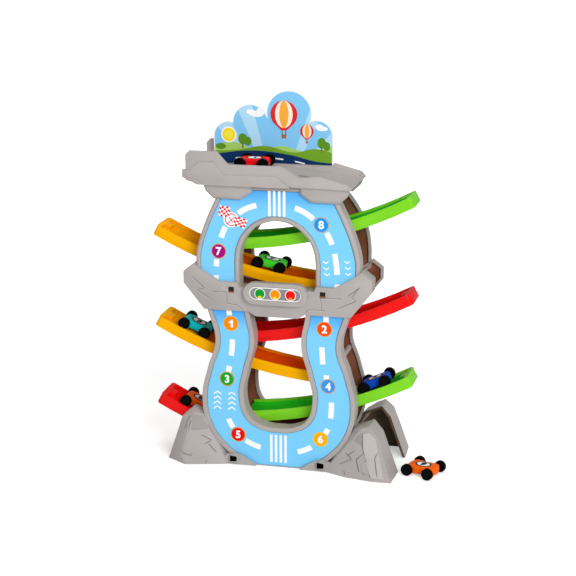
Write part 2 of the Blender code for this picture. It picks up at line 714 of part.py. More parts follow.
def build_ramp(ramp, frame):
    """Build one ramp with its end block and pegs."""
    name, side, z_low, low_u = ramp
    colour = "track_" + name.split("_")[-1]
    centre_x, centre_z = ramp_centre(ramp)
    holder = frame_empty(name + "_arc", (centre_x, RAMP_MID_Y, centre_z), frame)
    end_angle = ramp_angle(RAMP_END_U)
    notch_angle = end_angle - (BLOCK_LENGTH - BLOCK_NOTCH) / 2 / RAMP_RADIUS
    channel = ramp_channel_mesh(ramp_angle(low_u), notch_angle)
    block = block_mesh(end_angle)
    if side < 0:
        for half in (channel, block):
            bmesh.ops.scale(half, verts=half.verts, vec=(-1.0, 1.0, 1.0))
    body = add_object(name, channel, holder, colour)
    combine(body, add_tool(name + "_block", block, holder), "UNION")
    pegs = bmesh.new()
    front_tip = -PANEL_FACE + PANEL_WALL + BOSS_SUNK + PEG_CLEARANCE
    back_tip = BACK_RIM - PANEL_WALL - BOSS_SUNK - PEG_CLEARANCE
    root = RAMP_WALL / 2
    half = RAMP_WIDTH / 2
    for x, z in ramp_pegs(ramp):
        bar_mesh(x, z, PEG_RADIUS, front_tip, RAMP_MID_Y - half + root, PEG_SIDES, pegs)
        bar_mesh(x, z, PEG_RADIUS, RAMP_MID_Y + half - root, back_tip, PEG_SIDES, pegs)
    combine(body, add_tool(name + "_pegs", pegs, frame), "UNION")


# Launch deck and scene plate

def deck_wall_outline():
    """Return the side wall's outline, with a tall block at its left end."""
    return [(DECK_LEFT_X, DECK_BOTTOM_Z + DECK_WALL), (DECK_LEFT_X, DECK_BLOCK_TOP_Z - DECK_BLOCK_CORNER),
            (DECK_LEFT_X + DECK_BLOCK_CORNER, DECK_BLOCK_TOP_Z), (DECK_BLOCK_RIGHT_X, DECK_BLOCK_TOP_Z),
            (DECK_BLOCK_RIGHT_X + DECK_BLOCK_FALL, DECK_RAIL_Z), (DECK_RAIL_RIGHT_X, DECK_RAIL_Z),
            (DECK_DIP_X, DECK_DIP_Z), (DECK_HUMP_X, DECK_HUMP_Z), (DECK_TAIL_X, DECK_TAIL_Z),
            (DECK_RIGHT_X, DECK_BOTTOM_Z)]


def deck_band_outline():
    """Return the outline of the raised band along the wall's foot."""
    return [(BAND_FOOT_X, DECK_BOTTOM_Z), (BAND_LEFT_X, BAND_LEFT_LOW_Z), (BAND_LEFT_X, BAND_LEFT_TOP_Z),
            (BAND_BLOCK_LEFT_X - (BAND_BLOCK_TOP_Z - BAND_LEFT_TOP_Z), BAND_LEFT_TOP_Z),
            (BAND_BLOCK_LEFT_X, BAND_BLOCK_TOP_Z), (BAND_BLOCK_RIGHT_X, BAND_BLOCK_TOP_Z),
            (BAND_RAIL_X, BAND_RAIL_Z), (BAND_RIGHT_X, BAND_RAIL_Z), (BAND_END_X, DECK_BOTTOM_Z)]


def shoulder_outline(side):
    """Return the outline of the clamp that laps over one shoulder of the arch."""
    top = DECK_BOTTOM_Z + SHOULDER_ROOT
    right = [(SHOULDER_INNER_X, top), (SHOULDER_INNER_X, SHOULDER_INNER_Z),
             (SHOULDER_LOW_X, SHOULDER_LOW_Z), (SHOULDER_LOW_END_X, SHOULDER_LOW_Z),
             (SHOULDER_OUTER_X, SHOULDER_OUTER_Z), (SHOULDER_TOP_X, top)]
    return [(side * x, z) for x, z in right]


def build_deck(frame):
    """Build the launch deck: a floor that tips down to the right, a level ledge, and two walls."""
    floor = [(DECK_LEFT_X, DECK_BOTTOM_Z + DECK_WALL), (DECK_LEFT_X, DECK_FLOOR_Z),
             (DECK_SLOPE_X, DECK_FLOOR_Z), (DECK_RIGHT_X - SEAT_GAP, DECK_EXIT_Z),
             (DECK_RIGHT_X - SEAT_GAP, DECK_BOTTOM_Z), (BAND_FOOT_X, DECK_BOTTOM_Z)]
    inner = DECK_HALF_DEPTH - DECK_WALL / 2
    deck = add_object("launch_deck", prism_mesh(floor, -inner, inner), frame, "stone_grey")
    root = (DECK_BOTTOM_Z + DECK_EXIT_Z) / 2
    ledge = [(DECK_BLOCK_RIGHT_X, root), (DECK_BLOCK_RIGHT_X, DECK_LEDGE_Z), (DECK_HUMP_X, DECK_LEDGE_Z),
             (DECK_TAIL_X, DECK_LEDGE_TAIL_Z), (DECK_TAIL_X, root)]
    combine(deck, add_tool("deck_ledge", prism_mesh(ledge, DECK_LEDGE_Y, inner), frame), "UNION")
    walls = bmesh.new()
    bands = bmesh.new()
    shoulders = bmesh.new()
    for side in (-1, 1):
        outer = side * DECK_HALF_DEPTH
        band_face = outer + side * DECK_BAND_RAISE
        prism_mesh(deck_wall_outline(), outer, outer - side * DECK_WALL, walls)
        prism_mesh(deck_band_outline(), band_face, outer - side * DECK_BAND_ROOT, bands)
        clamp = side * (PANEL_FACE + RIM_RAISE + SEAT_GAP)
        for left_right in (-1, 1):
            prism_mesh(shoulder_outline(left_right), clamp + side * SHOULDER_PROUD, clamp, shoulders)
    for name, bm in (("deck_walls", walls), ("deck_bands", bands), ("deck_shoulders", shoulders)):
        combine(deck, add_tool(name, bm, frame), "UNION")
    half = PLATE_THICKNESS / 2 + PLATE_SLOT_GAP
    slot = box_outline(PLATE_LEFT_X - PLATE_SLOT_GAP, PLATE_RIGHT_X + PLATE_SLOT_GAP,
                       PLATE_FOOT_Z - PLATE_SLOT_GAP, DECK_BLOCK_TOP_Z)
    combine(deck, add_tool("deck_slot", prism_mesh(slot, PLATE_Y - half, PLATE_Y + half), frame),
            "DIFFERENCE")


def bump_crossing(first, second):
    """Return the upper crossing of two neighbouring bumps' circles."""
    x0, z0, r0 = first
    x1, z1, r1 = second
    gap = Vector((x1 - x0, z1 - z0))
    along = (gap.length_squared + r0 ** 2 - r1 ** 2) / (2 * gap.length)
    across = sqrt(r0 ** 2 - along ** 2)
    step = gap.normalized()
    return Vector((x0, z0)) + step * along + Vector((-step.y, step.x)) * across


def plate_outline():
    """Return the scene plate's outline: a straight foot and a cloud-like top edge."""
    left = (PLATE_BUMPS[0][0] - PLATE_BUMPS[0][2], PLATE_BUMPS[0][1])
    right = (PLATE_BUMPS[-1][0] + PLATE_BUMPS[-1][2], PLATE_BUMPS[-1][1])
    joints = [Vector(left)]
    joints += [bump_crossing(a, b) for a, b in zip(PLATE_BUMPS, PLATE_BUMPS[1:])]
    joints += [Vector(right)]
    top = []
    for index, (x, z, radius) in enumerate(PLATE_BUMPS):
        middle = Vector((x, z))
        first = joints[index] - middle
        last = joints[index + 1] - middle
        start = degrees(atan2(first.y, first.x)) % 360
        run = arc((x, z), radius, start, degrees(atan2(last.y, last.x)), BUMP_STEPS)
        top += run if index == len(PLATE_BUMPS) - 1 else run[:-1]
    return [(PLATE_LEFT_X, PLATE_FOOT_Z)] + top + [(PLATE_RIGHT_X, PLATE_FOOT_Z)]


def build_plate(frame):
    """Build the printed scene plate."""
    half = PLATE_THICKNESS / 2
    plate = prism_mesh(plate_outline(), PLATE_Y - half, PLATE_Y + half)
    add_object("scene_plate", plate, frame, "plate_print")


# Rocks

def rock_points(side, front):
    """Return the corners of one rock, mirrored to its side and to the front or the back."""
    table = ROCK_LEFT if side < 0 else ROCK_RIGHT
    inner = -FRONT_INNER + SEAT_GAP
    facing = -1 if front else 1
    shift = 0.0 if front else BACK_INNER + FRONT_INNER
    return [(side * x, facing * (inner if depth is None else depth) + shift, z) for x, depth, z in table]


def hull_mesh(points):
    """Wrap flat facets round a set of corners."""
    bm = bmesh.new()
    for point in points:
        bm.verts.new(point)
    result = bmesh.ops.convex_hull(bm, input=bm.verts)
    spare = [item for item in result["geom_interior"] if isinstance(item, bmesh.types.BMVert)]
    bmesh.ops.delete(bm, geom=spare, context="VERTS")
    return bm


def wall_planes(hull, open_y):
    """Return a point and a normal for each facet that gets a wall: all but the floor and the open side."""
    planes = {}
    for face in hull.faces:
        normal = face.normal
        if normal.z < -SQUARE_ON or normal.y * open_y > SQUARE_ON:
            continue
        point = face.calc_center_median()
        key = tuple(round(value, PLANE_DIGITS) for value in (*normal, point.dot(normal)))
        planes[key] = (point.copy(), normal.copy())
    return list(planes.values())


def hollow_mesh(points, open_y):
    """Make the space inside a rock's walls, open below and on the side that looks along open_y."""
    hull = hull_mesh(points)
    hull.normal_update()
    planes = wall_planes(hull, open_y)
    hull.free()
    bm = bmesh.new()
    bmesh.ops.create_cube(bm, size=HOLLOW_BLOCK)
    for point, normal in planes:
        everything = bm.verts[:] + bm.edges[:] + bm.faces[:]
        cut = bmesh.ops.bisect_plane(bm, geom=everything, plane_co=point - normal * ROCK_WALL,
                                     plane_no=normal, clear_outer=True)
        rim = [item for item in cut["geom_cut"] if isinstance(item, bmesh.types.BMEdge)]
        if rim:
            bmesh.ops.contextual_create(bm, geom=rim)
    return bm


def tongue_outline(side):
    """Return the outline of the low lip that laps over the panel's foot."""
    right = [(TONGUE_TIP_X, 0.0), (TONGUE_TIP_X, TONGUE_LIP_Z), (TONGUE_TOP_X, TONGUE_TOP_Z),
             (TONGUE_ROOT_X - TONGUE_TOP_Z, TONGUE_TOP_Z), (TONGUE_ROOT_X, 0.0)]
    return [(side * x, z) for x, z in right]


def build_rock(name, side, front, frame):
    """Build one rock: a faceted mass cut to the lower loop, with a lip that laps over its foot."""
    points = rock_points(side, front)
    rock = add_object(name, hull_mesh(points), frame, "stone_grey")
    low, high = (-CUT_REACH, 0.0) if front else (0.0, CUT_REACH)
    seat = prism_mesh(inset(loop_outline(), -SEAT_GAP), low, high)
    combine(rock, add_tool(name + "_panel_cut", seat, frame), "DIFFERENCE")
    hollow = add_tool(name + "_hollow", hollow_mesh(points, 1 if front else -1), frame)
    wall = prism_mesh(inset(loop_outline(), -SEAT_GAP - ROCK_WALL), -CUT_REACH, CUT_REACH)
    combine(hollow, add_tool(name + "_wall", wall, frame), "DIFFERENCE")
    combine(rock, hollow, "DIFFERENCE")
    if front:
        face = FRONT_RIM - SEAT_GAP
        lip_face = -ROCK_BOSS_FACE
        lip = prism_mesh(tongue_outline(side), lip_face, face)
        combine(rock, add_tool(name + "_lip", lip, frame), "UNION")
        boss_face = lip_face - ROCK_BOSS_HOLE_DEPTH / 2
        boss = bar_mesh(side * ROCK_BOSS_X, ROCK_BOSS_Z, ROCK_BOSS_RADIUS, boss_face, face, POST_SIDES)
        combine(rock, add_tool(name + "_boss", boss, frame), "UNION")
        half = ROCK_BOSS_HOLE / 2
        square = box_outline(side * ROCK_BOSS_X - half, side * ROCK_BOSS_X + half,
                             ROCK_BOSS_Z - half, ROCK_BOSS_Z + half)
        hole = prism_mesh(square, boss_face - ROCK_BOSS_HOLE_DEPTH, boss_face + ROCK_BOSS_HOLE_DEPTH)
        combine(rock, add_tool(name + "_boss_hole", hole, frame), "DIFFERENCE")


# Cars

def body_outline():
    """Return the car body's plan as x and y: two round ends with a waist between them."""
    reach = BODY_LENGTH / 2
    right = []
    for step in range(BODY_STEPS + 1):
        angle = pi * step / BODY_STEPS / 2
        x = reach * sin(angle)
        round_end = BODY_HALF_WIDTH * sqrt(max(0.0, 1 - (x / reach) ** BODY_END_POWER))
        near = min(x / reach / BODY_WAIST_REACH, 1.0)
        waist = (BODY_HALF_WIDTH - BODY_WAIST) * cos(near * pi / 2) ** 2
        right.append((x, round_end - waist))
    top = right + [(x, -y) for x, y in reversed(right[:-1])]
    left = [(-x, y) for x, y in reversed(top) if x > 1e-9]
    return top + left


def body_half_mesh(side):
    """Make one half of the body: the plan extruded from the parting line, its outer edge rounded in."""
    plan = body_outline()
    half = BODY_HEIGHT / 2
    rings = [(plan, BODY_PARTING / 2), (plan, half - BODY_CORNER), (inset(plan, BODY_CORNER), half)]
    bm = bmesh.new()
    loops = [[bm.verts.new((x, y, side * z)) for x, y in ring] for ring, z in rings]
    for first, second in zip(loops, loops[1:]):
        count = len(first)
        for index in range(count):
            following = (index + 1) % count
            bm.faces.new((first[index], first[following], second[following], second[index]))
    bm.faces.new(loops[0])
    bm.faces.new(loops[-1])
    return bm


def wheelset_profile():
    """Return a wheelset's section as radius and y: two dished, chamfered wheels on one axle."""
    inner = (CAR_TRACK - WHEEL_WIDTH) / 2
    outer = (CAR_TRACK + WHEEL_WIDTH) / 2
    right = [(AXLE_RADIUS, inner), (WHEEL_RADIUS, inner),
             (WHEEL_RADIUS, outer - WHEEL_CHAMFER), (WHEEL_RADIUS - WHEEL_CHAMFER, outer),
             (WHEEL_DISH_RADIUS, outer), (0.0, outer - WHEEL_DISH_DEPTH)]
    left = [(radius, -y) for radius, y in reversed(right)]
    return left + right


def build_car(name, holder, finish_name):
    """Build one car whose middle is at the holder: two body halves that clip round two wheelsets."""
    bores = bmesh.new()
    for end, offset in (("front", CAR_WHEELBASE / 2), ("rear", -CAR_WHEELBASE / 2)):
        bar_mesh(offset, 0.0, AXLE_RADIUS + AXLE_CLEARANCE, -CAR_TRACK / 2, CAR_TRACK / 2, AXLE_SIDES, bores)
        line = frame_empty(name + "_" + end + "_line", (offset, 0.0, 0.0), holder)
        wheelset = turned_mesh(wheelset_profile(), (0.0, 0.0), WHEEL_SIDES)
        smooth(add_object(name + "_" + end + "_wheels", wheelset, line, "wheel_black"))
    bore_tool = add_tool(name + "_axle_bores", bores, holder)
    for half, side in (("top", 1), ("bottom", -1)):
        shell = add_object(name + "_body_" + half, body_half_mesh(side), holder, finish_name)
        combine(shell, bore_tool, "DIFFERENCE")
        smooth(shell)


def build_cars(frame):
    """Place the six cars on their ramps, the deck and the floor."""
    wheel_circle = RAMP_RADIUS + RAMP_FLOOR_DEPTH - TRACK_GAP - WHEEL_RADIUS
    body_circle = sqrt(wheel_circle ** 2 - (CAR_WHEELBASE / 2) ** 2)
    for name, index, u in RAMP_CARS:
        ramp = RAMPS[index]
        side = ramp[1]
        centre_x, centre_z = ramp_centre(ramp)
        angle = asin((u - RAMP_CENTRE_U) / body_circle)
        place = (centre_x + side * body_circle * sin(angle), RAMP_MID_Y, centre_z - body_circle * cos(angle))
        holder = frame_empty(name + "_place", place, frame, turn_y=-side * angle)
        build_car(name, holder, "car_" + name.split("_")[0])
    deck_place = (DECK_CAR_X, RAMP_MID_Y, DECK_FLOOR_Z + TRACK_GAP + WHEEL_RADIUS)
    build_car("red_car", frame_empty("red_car_place", deck_place, frame), "car_red")
    floor_place = (FLOOR_CAR_X, FLOOR_CAR_Y, WHEEL_RADIUS)
    floor_holder = frame_empty("floor_car_place", floor_place, frame, turn_z=radians(FLOOR_CAR_YAW))
    build_car("floor_car", floor_holder, "car_orange")


def main():
    """Build the whole tower."""
    clear_scene()
    frame = frame_empty("tower_frame", (0.0, TOWER_MID_Y, 0.0))
    build_panels(frame)
    build_belts(frame)
    build_screws(frame)
    for ramp in RAMPS:
        build_ramp(ramp, frame)
    build_deck(frame)
    build_plate(frame)
    for name, side, front in (("rock_front_left", -1, True), ("rock_front_right", 1, True),
                              ("rock_back_left", -1, False), ("rock_back_right", 1, False)):
        build_rock(name, side, front, frame)
    build_cars(frame)
    bpy.context.view_layer.update()


main()
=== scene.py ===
"""Toy car tower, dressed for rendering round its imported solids.

Sizes are in millimetres in the tower's own frame unless a name says otherwise: x to the right,
y to the back with the tower's middle at 0, z up from the floor. Each finished piece is brought to
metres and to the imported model's frame in one step, when it becomes an object.
"""

import logging
from dataclasses import dataclass
from enum import Enum
from math import asin, atan2, cos, pi, radians, sin, sqrt
from typing import Iterable, NamedTuple, Optional, Sequence, Union

import bmesh
import bpy
from mathutils import Matrix, Vector
from mathutils.bvhtree import BVHTree


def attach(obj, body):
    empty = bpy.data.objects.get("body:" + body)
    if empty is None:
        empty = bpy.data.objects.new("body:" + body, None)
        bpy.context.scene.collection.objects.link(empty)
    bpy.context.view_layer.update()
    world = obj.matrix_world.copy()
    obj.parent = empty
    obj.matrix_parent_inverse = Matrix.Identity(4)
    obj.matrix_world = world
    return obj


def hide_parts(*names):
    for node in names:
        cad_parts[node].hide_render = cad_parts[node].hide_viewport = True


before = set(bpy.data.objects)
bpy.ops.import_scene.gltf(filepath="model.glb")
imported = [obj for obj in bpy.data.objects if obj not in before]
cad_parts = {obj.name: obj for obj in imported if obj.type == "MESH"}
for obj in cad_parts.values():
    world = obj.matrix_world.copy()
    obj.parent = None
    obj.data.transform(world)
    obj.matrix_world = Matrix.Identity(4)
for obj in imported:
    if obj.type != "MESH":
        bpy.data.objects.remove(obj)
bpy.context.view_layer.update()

LOG = logging.getLogger("car_tower")
MM = 0.001
TOWER_MID_Y = 26.0
TO_WORLD = Matrix.Scale(MM, 4) @ Matrix.Translation((0.0, TOWER_MID_Y, 0.0))
TO_TOWER = TO_WORLD.inverted()
TOWER = "tower"

# Points nearer than this are one, and edges that turn less than these angles are dissolved
MERGE = 0.0005
FLAT_OUTLINE = radians(1.0)
FLAT_SOLID = radians(0.5)
STRAIGHT = radians(0.4)
UPRIGHT = Matrix.Rotation(pi / 2, 4, "X")

Socket = bpy.types.NodeSocket
Shade = Union[Socket, tuple]
BMesh = bmesh.types.BMesh
Face, Edge = bmesh.types.BMFace, bmesh.types.BMEdge
Material = bpy.types.Material
Pair = tuple[float, float]
MIX_FACTOR, MIX_A, MIX_B, MIX_RESULT = 0, 6, 7, 2


# Colour and node helpers

def linear(hex_colour: str) -> tuple[float, float, float, float]:
    """Turn an sRGB hex colour into the linear colour that a shader takes.

    Args:
        hex_colour: six hex digits with a leading hash.

    Returns:
        Linear red, green and blue with an alpha of 1.
    """
    parts = [int(hex_colour[i:i + 2], 16) / 255 for i in (1, 3, 5)]
    red, green, blue = (c / 12.92 if c <= 0.04045 else ((c + 0.055) / 1.055) ** 2.4 for c in parts)
    return red, green, blue, 1.0


def add_node(tree: bpy.types.NodeTree, kind: str, values: Optional[dict] = None,
             **settings: object) -> bpy.types.Node:
    """Add a node with its settings, its plain values and its links.

    Args:
        tree: the tree that the node goes into.
        kind: the node's type name.
        values: an input's name or number with a value, or with the output that feeds it.
        settings: attributes of the node itself.

    Returns:
        The new node.
    """
    node = tree.nodes.new(kind)
    for key, value in settings.items():
        setattr(node, key, value)
    for key, value in (values or {}).items():
        if isinstance(value, Socket):
            tree.links.new(value, node.inputs[key])
        else:
            node.inputs[key].default_value = value
    return node


class Mixture:
    """A material being mixed, with the Object coordinates in metres that its patterns read."""

    low_lump, high_lump = 0.3, 0.7

    def __init__(self, name: str) -> None:
        """Start an empty node material.

        Args:
            name: the material's name.
        """
        self.material = bpy.data.materials.new(name)
        self.material.use_nodes = True
        self.tree = self.material.node_tree
        self.tree.nodes.clear()
        self.place = add_node(self.tree, "ShaderNodeTexCoord").outputs["Object"]

    def grain(self, size_mm: float, low: float, high: float, detail: float = 3.0) -> Socket:
        """Let a value swing in lumps of about a real size.

        Args:
            size_mm: the width of one lump.
            low: the value in the low lumps.
            high: the value in the high lumps.
            detail: the lumps' finer layers.

        Returns:
            The swinging value.
        """
        lumps = add_node(self.tree, "ShaderNodeTexNoise",
                         {"Vector": self.place, "Scale": 1.0 / (size_mm * MM), "Detail": detail})
        swing = add_node(self.tree, "ShaderNodeMapRange",
                         {"Value": lumps.outputs["Fac"], "From Min": self.low_lump,
                          "From Max": self.high_lump, "To Min": low, "To Max": high})
        return swing.outputs["Result"]

    def relief(self, size_mm: float, height_mm: float, detail: float = 3.0,
               strength: float = 1.0) -> Socket:
        """Raise the surface in lumps of about a real size.

        Args:
            size_mm: the width of one lump.
            height_mm: the height of one lump.
            detail: the lumps' finer layers.
            strength: the share of the relief that shows.

        Returns:
            The surface's direction.
        """
        lumps = add_node(self.tree, "ShaderNodeTexNoise",
                         {"Vector": self.place, "Scale": 1.0 / (size_mm * MM), "Detail": detail})
        bump = add_node(self.tree, "ShaderNodeBump",
                        {"Height": lumps.outputs["Fac"], "Strength": strength,
                         "Distance": height_mm * MM})
        return bump.outputs["Normal"]

    def mottle(self, size_mm: float, first: Shade, second: Shade, most: float = 1.0,
               detail: float = 3.0) -> Socket:
        """Cloud one colour with another in lumps of about a real size.

        Args:
            size_mm: the width of one lump.
            first: the colour in the low lumps.
            second: the colour that the high lumps pass into.
            most: the second colour's share in the high lumps.
            detail: the lumps' finer layers.

        Returns:
            The clouded colour.
        """
        share = self.grain(size_mm, 0.0, most, detail)
        mixed = add_node(self.tree, "ShaderNodeMix",
                         {MIX_FACTOR: share, MIX_A: first, MIX_B: second}, data_type="RGBA")
        return mixed.outputs[MIX_RESULT]

    def fade(self, along: Socket, run_mm: Pair, first: Shade, second: Shade) -> Socket:
        """Let one colour pass softly into another.

        Args:
            along: the distance in metres that it follows.
            run_mm: where the passage starts and ends.
            first: the colour before it.
            second: the colour after it.

        Returns:
            The passing colour.
        """
        share = add_node(self.tree, "ShaderNodeMapRange",
                         {"Value": along, "From Min": run_mm[0] * MM, "From Max": run_mm[1] * MM},
                         interpolation_type="SMOOTHSTEP").outputs["Result"]
        mixed = add_node(self.tree, "ShaderNodeMix",
                         {MIX_FACTOR: share, MIX_A: first, MIX_B: second}, data_type="RGBA")
        return mixed.outputs[MIX_RESULT]

    def close(self, surface: dict) -> Material:
        """Close the material with one principled surface.

        Args:
            surface: the surface's inputs.

        Returns:
            The finished material.
        """
        shader = add_node(self.tree, "ShaderNodeBsdfPrincipled", surface)
        add_node(self.tree, "ShaderNodeOutputMaterial", {"Surface": shader.outputs["BSDF"]})
        return self.material


# Finishes

MADE: dict[str, Material] = {}


@dataclass(frozen=True)
class Finish:
    """What a piece is made of and how its surface was made."""

    name: str
    colour: str

    def material(self) -> Material:
        """Look the finish's material up, and make it on first use.

        Returns:
            The material, one for each name.
        """
        if self.name not in MADE:
            MADE[self.name] = self.mix()
        return MADE[self.name]

    def mix(self) -> Material:
        """Build the material's nodes."""
        raise NotImplementedError


class Run(Enum):
    """How a moulding's colour passes into a painted shade: away from the middle, or up."""

    OUTWARD = "X"
    UPWARD = "Z"


@dataclass(frozen=True)
class MouldedPlastic(Finish):
    """Injection-moulded ABS: an even body colour that clouds slightly, over a spark-eroded skin.

    The clouds keep a large face from looking like flat paint, and the skin breaks up highlights.
    Real erosion is finer than 0.9 mm; it is drawn as coarse as it has to be to show. Where a far
    colour is given, the body colour passes into it over a run of millimetres, as painted shade.
    """

    cloud: str
    roughness: float = 0.4
    cloud_mm: float = 30.0
    skin_mm: float = 0.9
    skin_height_mm: float = 0.05
    skin_detail: float = 2.0
    shine: float = 0.3
    ior: float = 1.54
    swing: float = 0.05
    # Painted shade: a far colour that the body colour passes into along the run
    far: str = ""
    run: Run = Run.OUTWARD
    run_mm: Pair = (0.0, 1.0)

    def mix(self) -> Material:
        """Build the material's nodes.

        Returns:
            The finished material.
        """
        batch = Mixture(self.name)
        colour = batch.mottle(self.cloud_mm, linear(self.colour), linear(self.cloud))
        if self.far:
            along = add_node(batch.tree, "ShaderNodeSeparateXYZ", {"Vector": batch.place})
            reach = add_node(batch.tree, "ShaderNodeMath", {"Value": along.outputs[self.run.value]},
                             operation="ABSOLUTE")
            colour = batch.fade(reach.outputs["Value"], self.run_mm, colour, linear(self.far))
        rough = batch.grain(self.skin_mm, self.roughness - self.swing,
                            self.roughness + self.swing, self.skin_detail)
        skin = batch.relief(self.skin_mm, self.skin_height_mm, self.skin_detail)
        return batch.close({"Base Color": colour, "Roughness": rough, "Normal": skin,
                            "IOR": self.ior, "Specular IOR Level": self.shine})


@dataclass(frozen=True)
class StonePlastic(MouldedPlastic):
    """Grey ABS of the casing: matt like rock, from a deeply eroded mould."""

    roughness: float = 0.5
    cloud_mm: float = 40.0
    skin_height_mm: float = 0.07


@dataclass(frozen=True)
class TrackPlastic(MouldedPlastic):
    """Bright ABS of the ramps from a polished mould: a clear colour with a soft, wavy sheen."""

    roughness: float = 0.3
    cloud_mm: float = 60.0
    skin_mm: float = 9.0
    skin_height_mm: float = 0.02


@dataclass(frozen=True)
class TroughPaintedShade(TrackPlastic):
    """Painted shade for the ramps' ABS inside the trough: a deeper colour where the walls throw
    colour on each other, and nothing glints.
    """

    roughness: float = 0.34
    shine: float = 0.0


@dataclass(frozen=True)
class CarPlastic(MouldedPlastic):
    """Bright ABS of the cars: a clear, smooth colour with hardly any skin."""

    roughness: float = 0.3
    cloud_mm: float = 12.0
    skin_mm: float = 5.0
    skin_height_mm: float = 0.01
    shine: float = 0.05


@dataclass(frozen=True)
class WheelPlastic(MouldedPlastic):
    """Black plastic of the wheels: near black, so that only a faint sheen shows their round."""

    cloud_mm: float = 6.0
    skin_mm: float = 0.8


@dataclass(frozen=True)
class PrintedFilm(Finish):
    """Offset print under a clear PVC film: a flat ink with a faint dot grain and an even sheen.

    Real print dots are finer than 0.7 mm; they are drawn as coarse as they have to be to show.
    Where a painted shade colour is given, the ink darkens into it upwards over a run of
    millimetres: painted shade, as under the deck and the belt.
    """

    # Painted shade that the ink passes into upwards, and the heights of its run
    painted_shade_colour: str = ""
    painted_shade_mm: Pair = (0.0, 1.0)
    roughness: float = 0.32
    swing: float = 0.03
    shine: float = 0.05
    ior: float = 1.5
    dot_mm: float = 0.7
    dot_detail: float = 2.0
    dot_share: float = 0.008
    wave_mm: float = 12.0
    wave_height_mm: float = 0.05
    wave_strength: float = 0.6

    def mix(self) -> Material:
        """Build the material's nodes.

        Returns:
            The finished material.
        """
        batch = Mixture(self.name)
        colour: Shade = linear(self.colour)
        if self.painted_shade_colour:
            height = add_node(batch.tree, "ShaderNodeSeparateXYZ", {"Vector": batch.place})
            colour = batch.fade(height.outputs["Z"], self.painted_shade_mm, colour, linear(self.painted_shade_colour))
        colour = batch.mottle(self.dot_mm, colour, linear("#ffffff"), self.dot_share,
                              self.dot_detail)
        rough = batch.grain(self.dot_mm, self.roughness - self.swing, self.roughness + self.swing,
                            self.dot_detail)
        wave = batch.relief(self.wave_mm, self.wave_height_mm, strength=self.wave_strength)
        return batch.close({"Base Color": colour, "Roughness": rough, "Normal": wave,
                            "IOR": self.ior, "Specular IOR Level": self.shine})


@dataclass(frozen=True)
class PlatedSteel(Finish):
    """Zinc-plated steel: bright and faintly bluish, with fine drawing marks."""

    cloud: str
    mark_mm: float = 0.6
    mark_detail: float = 5.0
    roughness: Pair = (0.22, 0.4)

    def mix(self) -> Material:
        """Build the material's nodes.

        Returns:
            The finished material.
        """
        batch = Mixture(self.name)
        colour = batch.mottle(self.mark_mm, linear(self.colour), linear(self.cloud),
                              detail=self.mark_detail)
        rough = batch.grain(self.mark_mm, *self.roughness, self.mark_detail)
        return batch.close({"Base Color": colour, "Metallic": 1.0, "Roughness": rough})


STONE = StonePlastic("stone_grey_moulded_abs", "#b6afac", "#aea7a4")
# Painted shade and painted light for rock facets: a darker and a lighter copy of the grey
STONE_FACET_PAINTED_SHADE = StonePlastic("stone_grey_abs_painted_facet_shade", "#a59e9b", "#9e9794")
STONE_FACET_PAINTED_LIGHT = StonePlastic("stone_grey_abs_painted_facet_light", "#c5bebb", "#bdb6b3")
# Painted shadow for grooves, slits and gaps, and painted highlight beside cracks
STONE_PAINTED_SHADOW = MouldedPlastic("stone_grey_abs_painted_groove_shadow", "#7a7370", "#827b78", roughness=0.6)
STONE_PAINTED_HIGHLIGHT = MouldedPlastic("stone_grey_abs_painted_ridge_highlight", "#d2ccc9", "#ccc6c3", roughness=0.5)
# Painted shade in the hollows: the grey shells' insides coloured brown, darker still from 285 mm up
# under the deck
HOLLOW_PAINTED_SHADE = MouldedPlastic("brown_painted_hollow_shade", "#95614a", "#774936", roughness=0.55,
                             cloud_mm=18.0, shine=0.1, far="#4a3526", run=Run.UPWARD,
                             run_mm=(285.0, 345.0))
# Painted shade inside the back rocks' hollows
ROCK_HOLLOW_PAINTED_SHADE = MouldedPlastic("brown_painted_rock_hollow_shade", "#6f5847", "#54412f", roughness=0.6,
                             cloud_mm=14.0)
# Each track colour: its outside, and a painted shade of deeper, darker colour inside its trough
TROUGH_SHADE_RUN = (70.0, 125.0)
TRACKS = {
    "green": (TrackPlastic("green_polished_abs", "#84dc2c", "#7cd426", shine=0.06),
              TroughPaintedShade("green_abs_painted_trough_shade", "#2adc26", "#26d422", far="#24a52c",
                            run_mm=TROUGH_SHADE_RUN)),
    "yellow": (TrackPlastic("yellow_polished_abs", "#ffb900", "#feaf00", shine=0.04),
               TroughPaintedShade("yellow_abs_painted_trough_shade", "#ff6200", "#f85c00", far="#ffa400",
                             run_mm=TROUGH_SHADE_RUN)),
    "red": (TrackPlastic("red_polished_abs", "#f51c1a", "#ee1816", shine=0.07),
            TroughPaintedShade("red_abs_painted_trough_shade", "#ff1410", "#f80e0c")),
}
CAR_FINISHES = {paint: CarPlastic(paint + "_moulded_abs_car", colour, cloud)
                for paint, colour, cloud in (
                    ("red", "#fb1420", "#f0101a"), ("green", "#4ce333", "#44d82c"),
                    ("teal", "#0fd6d8", "#0bcccf"), ("blue", "#0b50cf", "#0a49bf"),
                    ("orange", "#ff6a08", "#fb6206"))}
TYRE_BLACK = WheelPlastic("black_moulded_pvc", "#050505", "#080808", roughness=0.5,
                          skin_height_mm=0.04, shine=0.03)
HUB_BLACK = WheelPlastic("black_moulded_abs_hub", "#0a0a0a", "#070707", skin_height_mm=0.02,
                         shine=0.06)
LAMP_GREY = MouldedPlastic("grey_printed_panel", "#8b8c8e", "#858688", roughness=0.35,
                           cloud_mm=10.0, skin_mm=0.8, skin_height_mm=0.02)
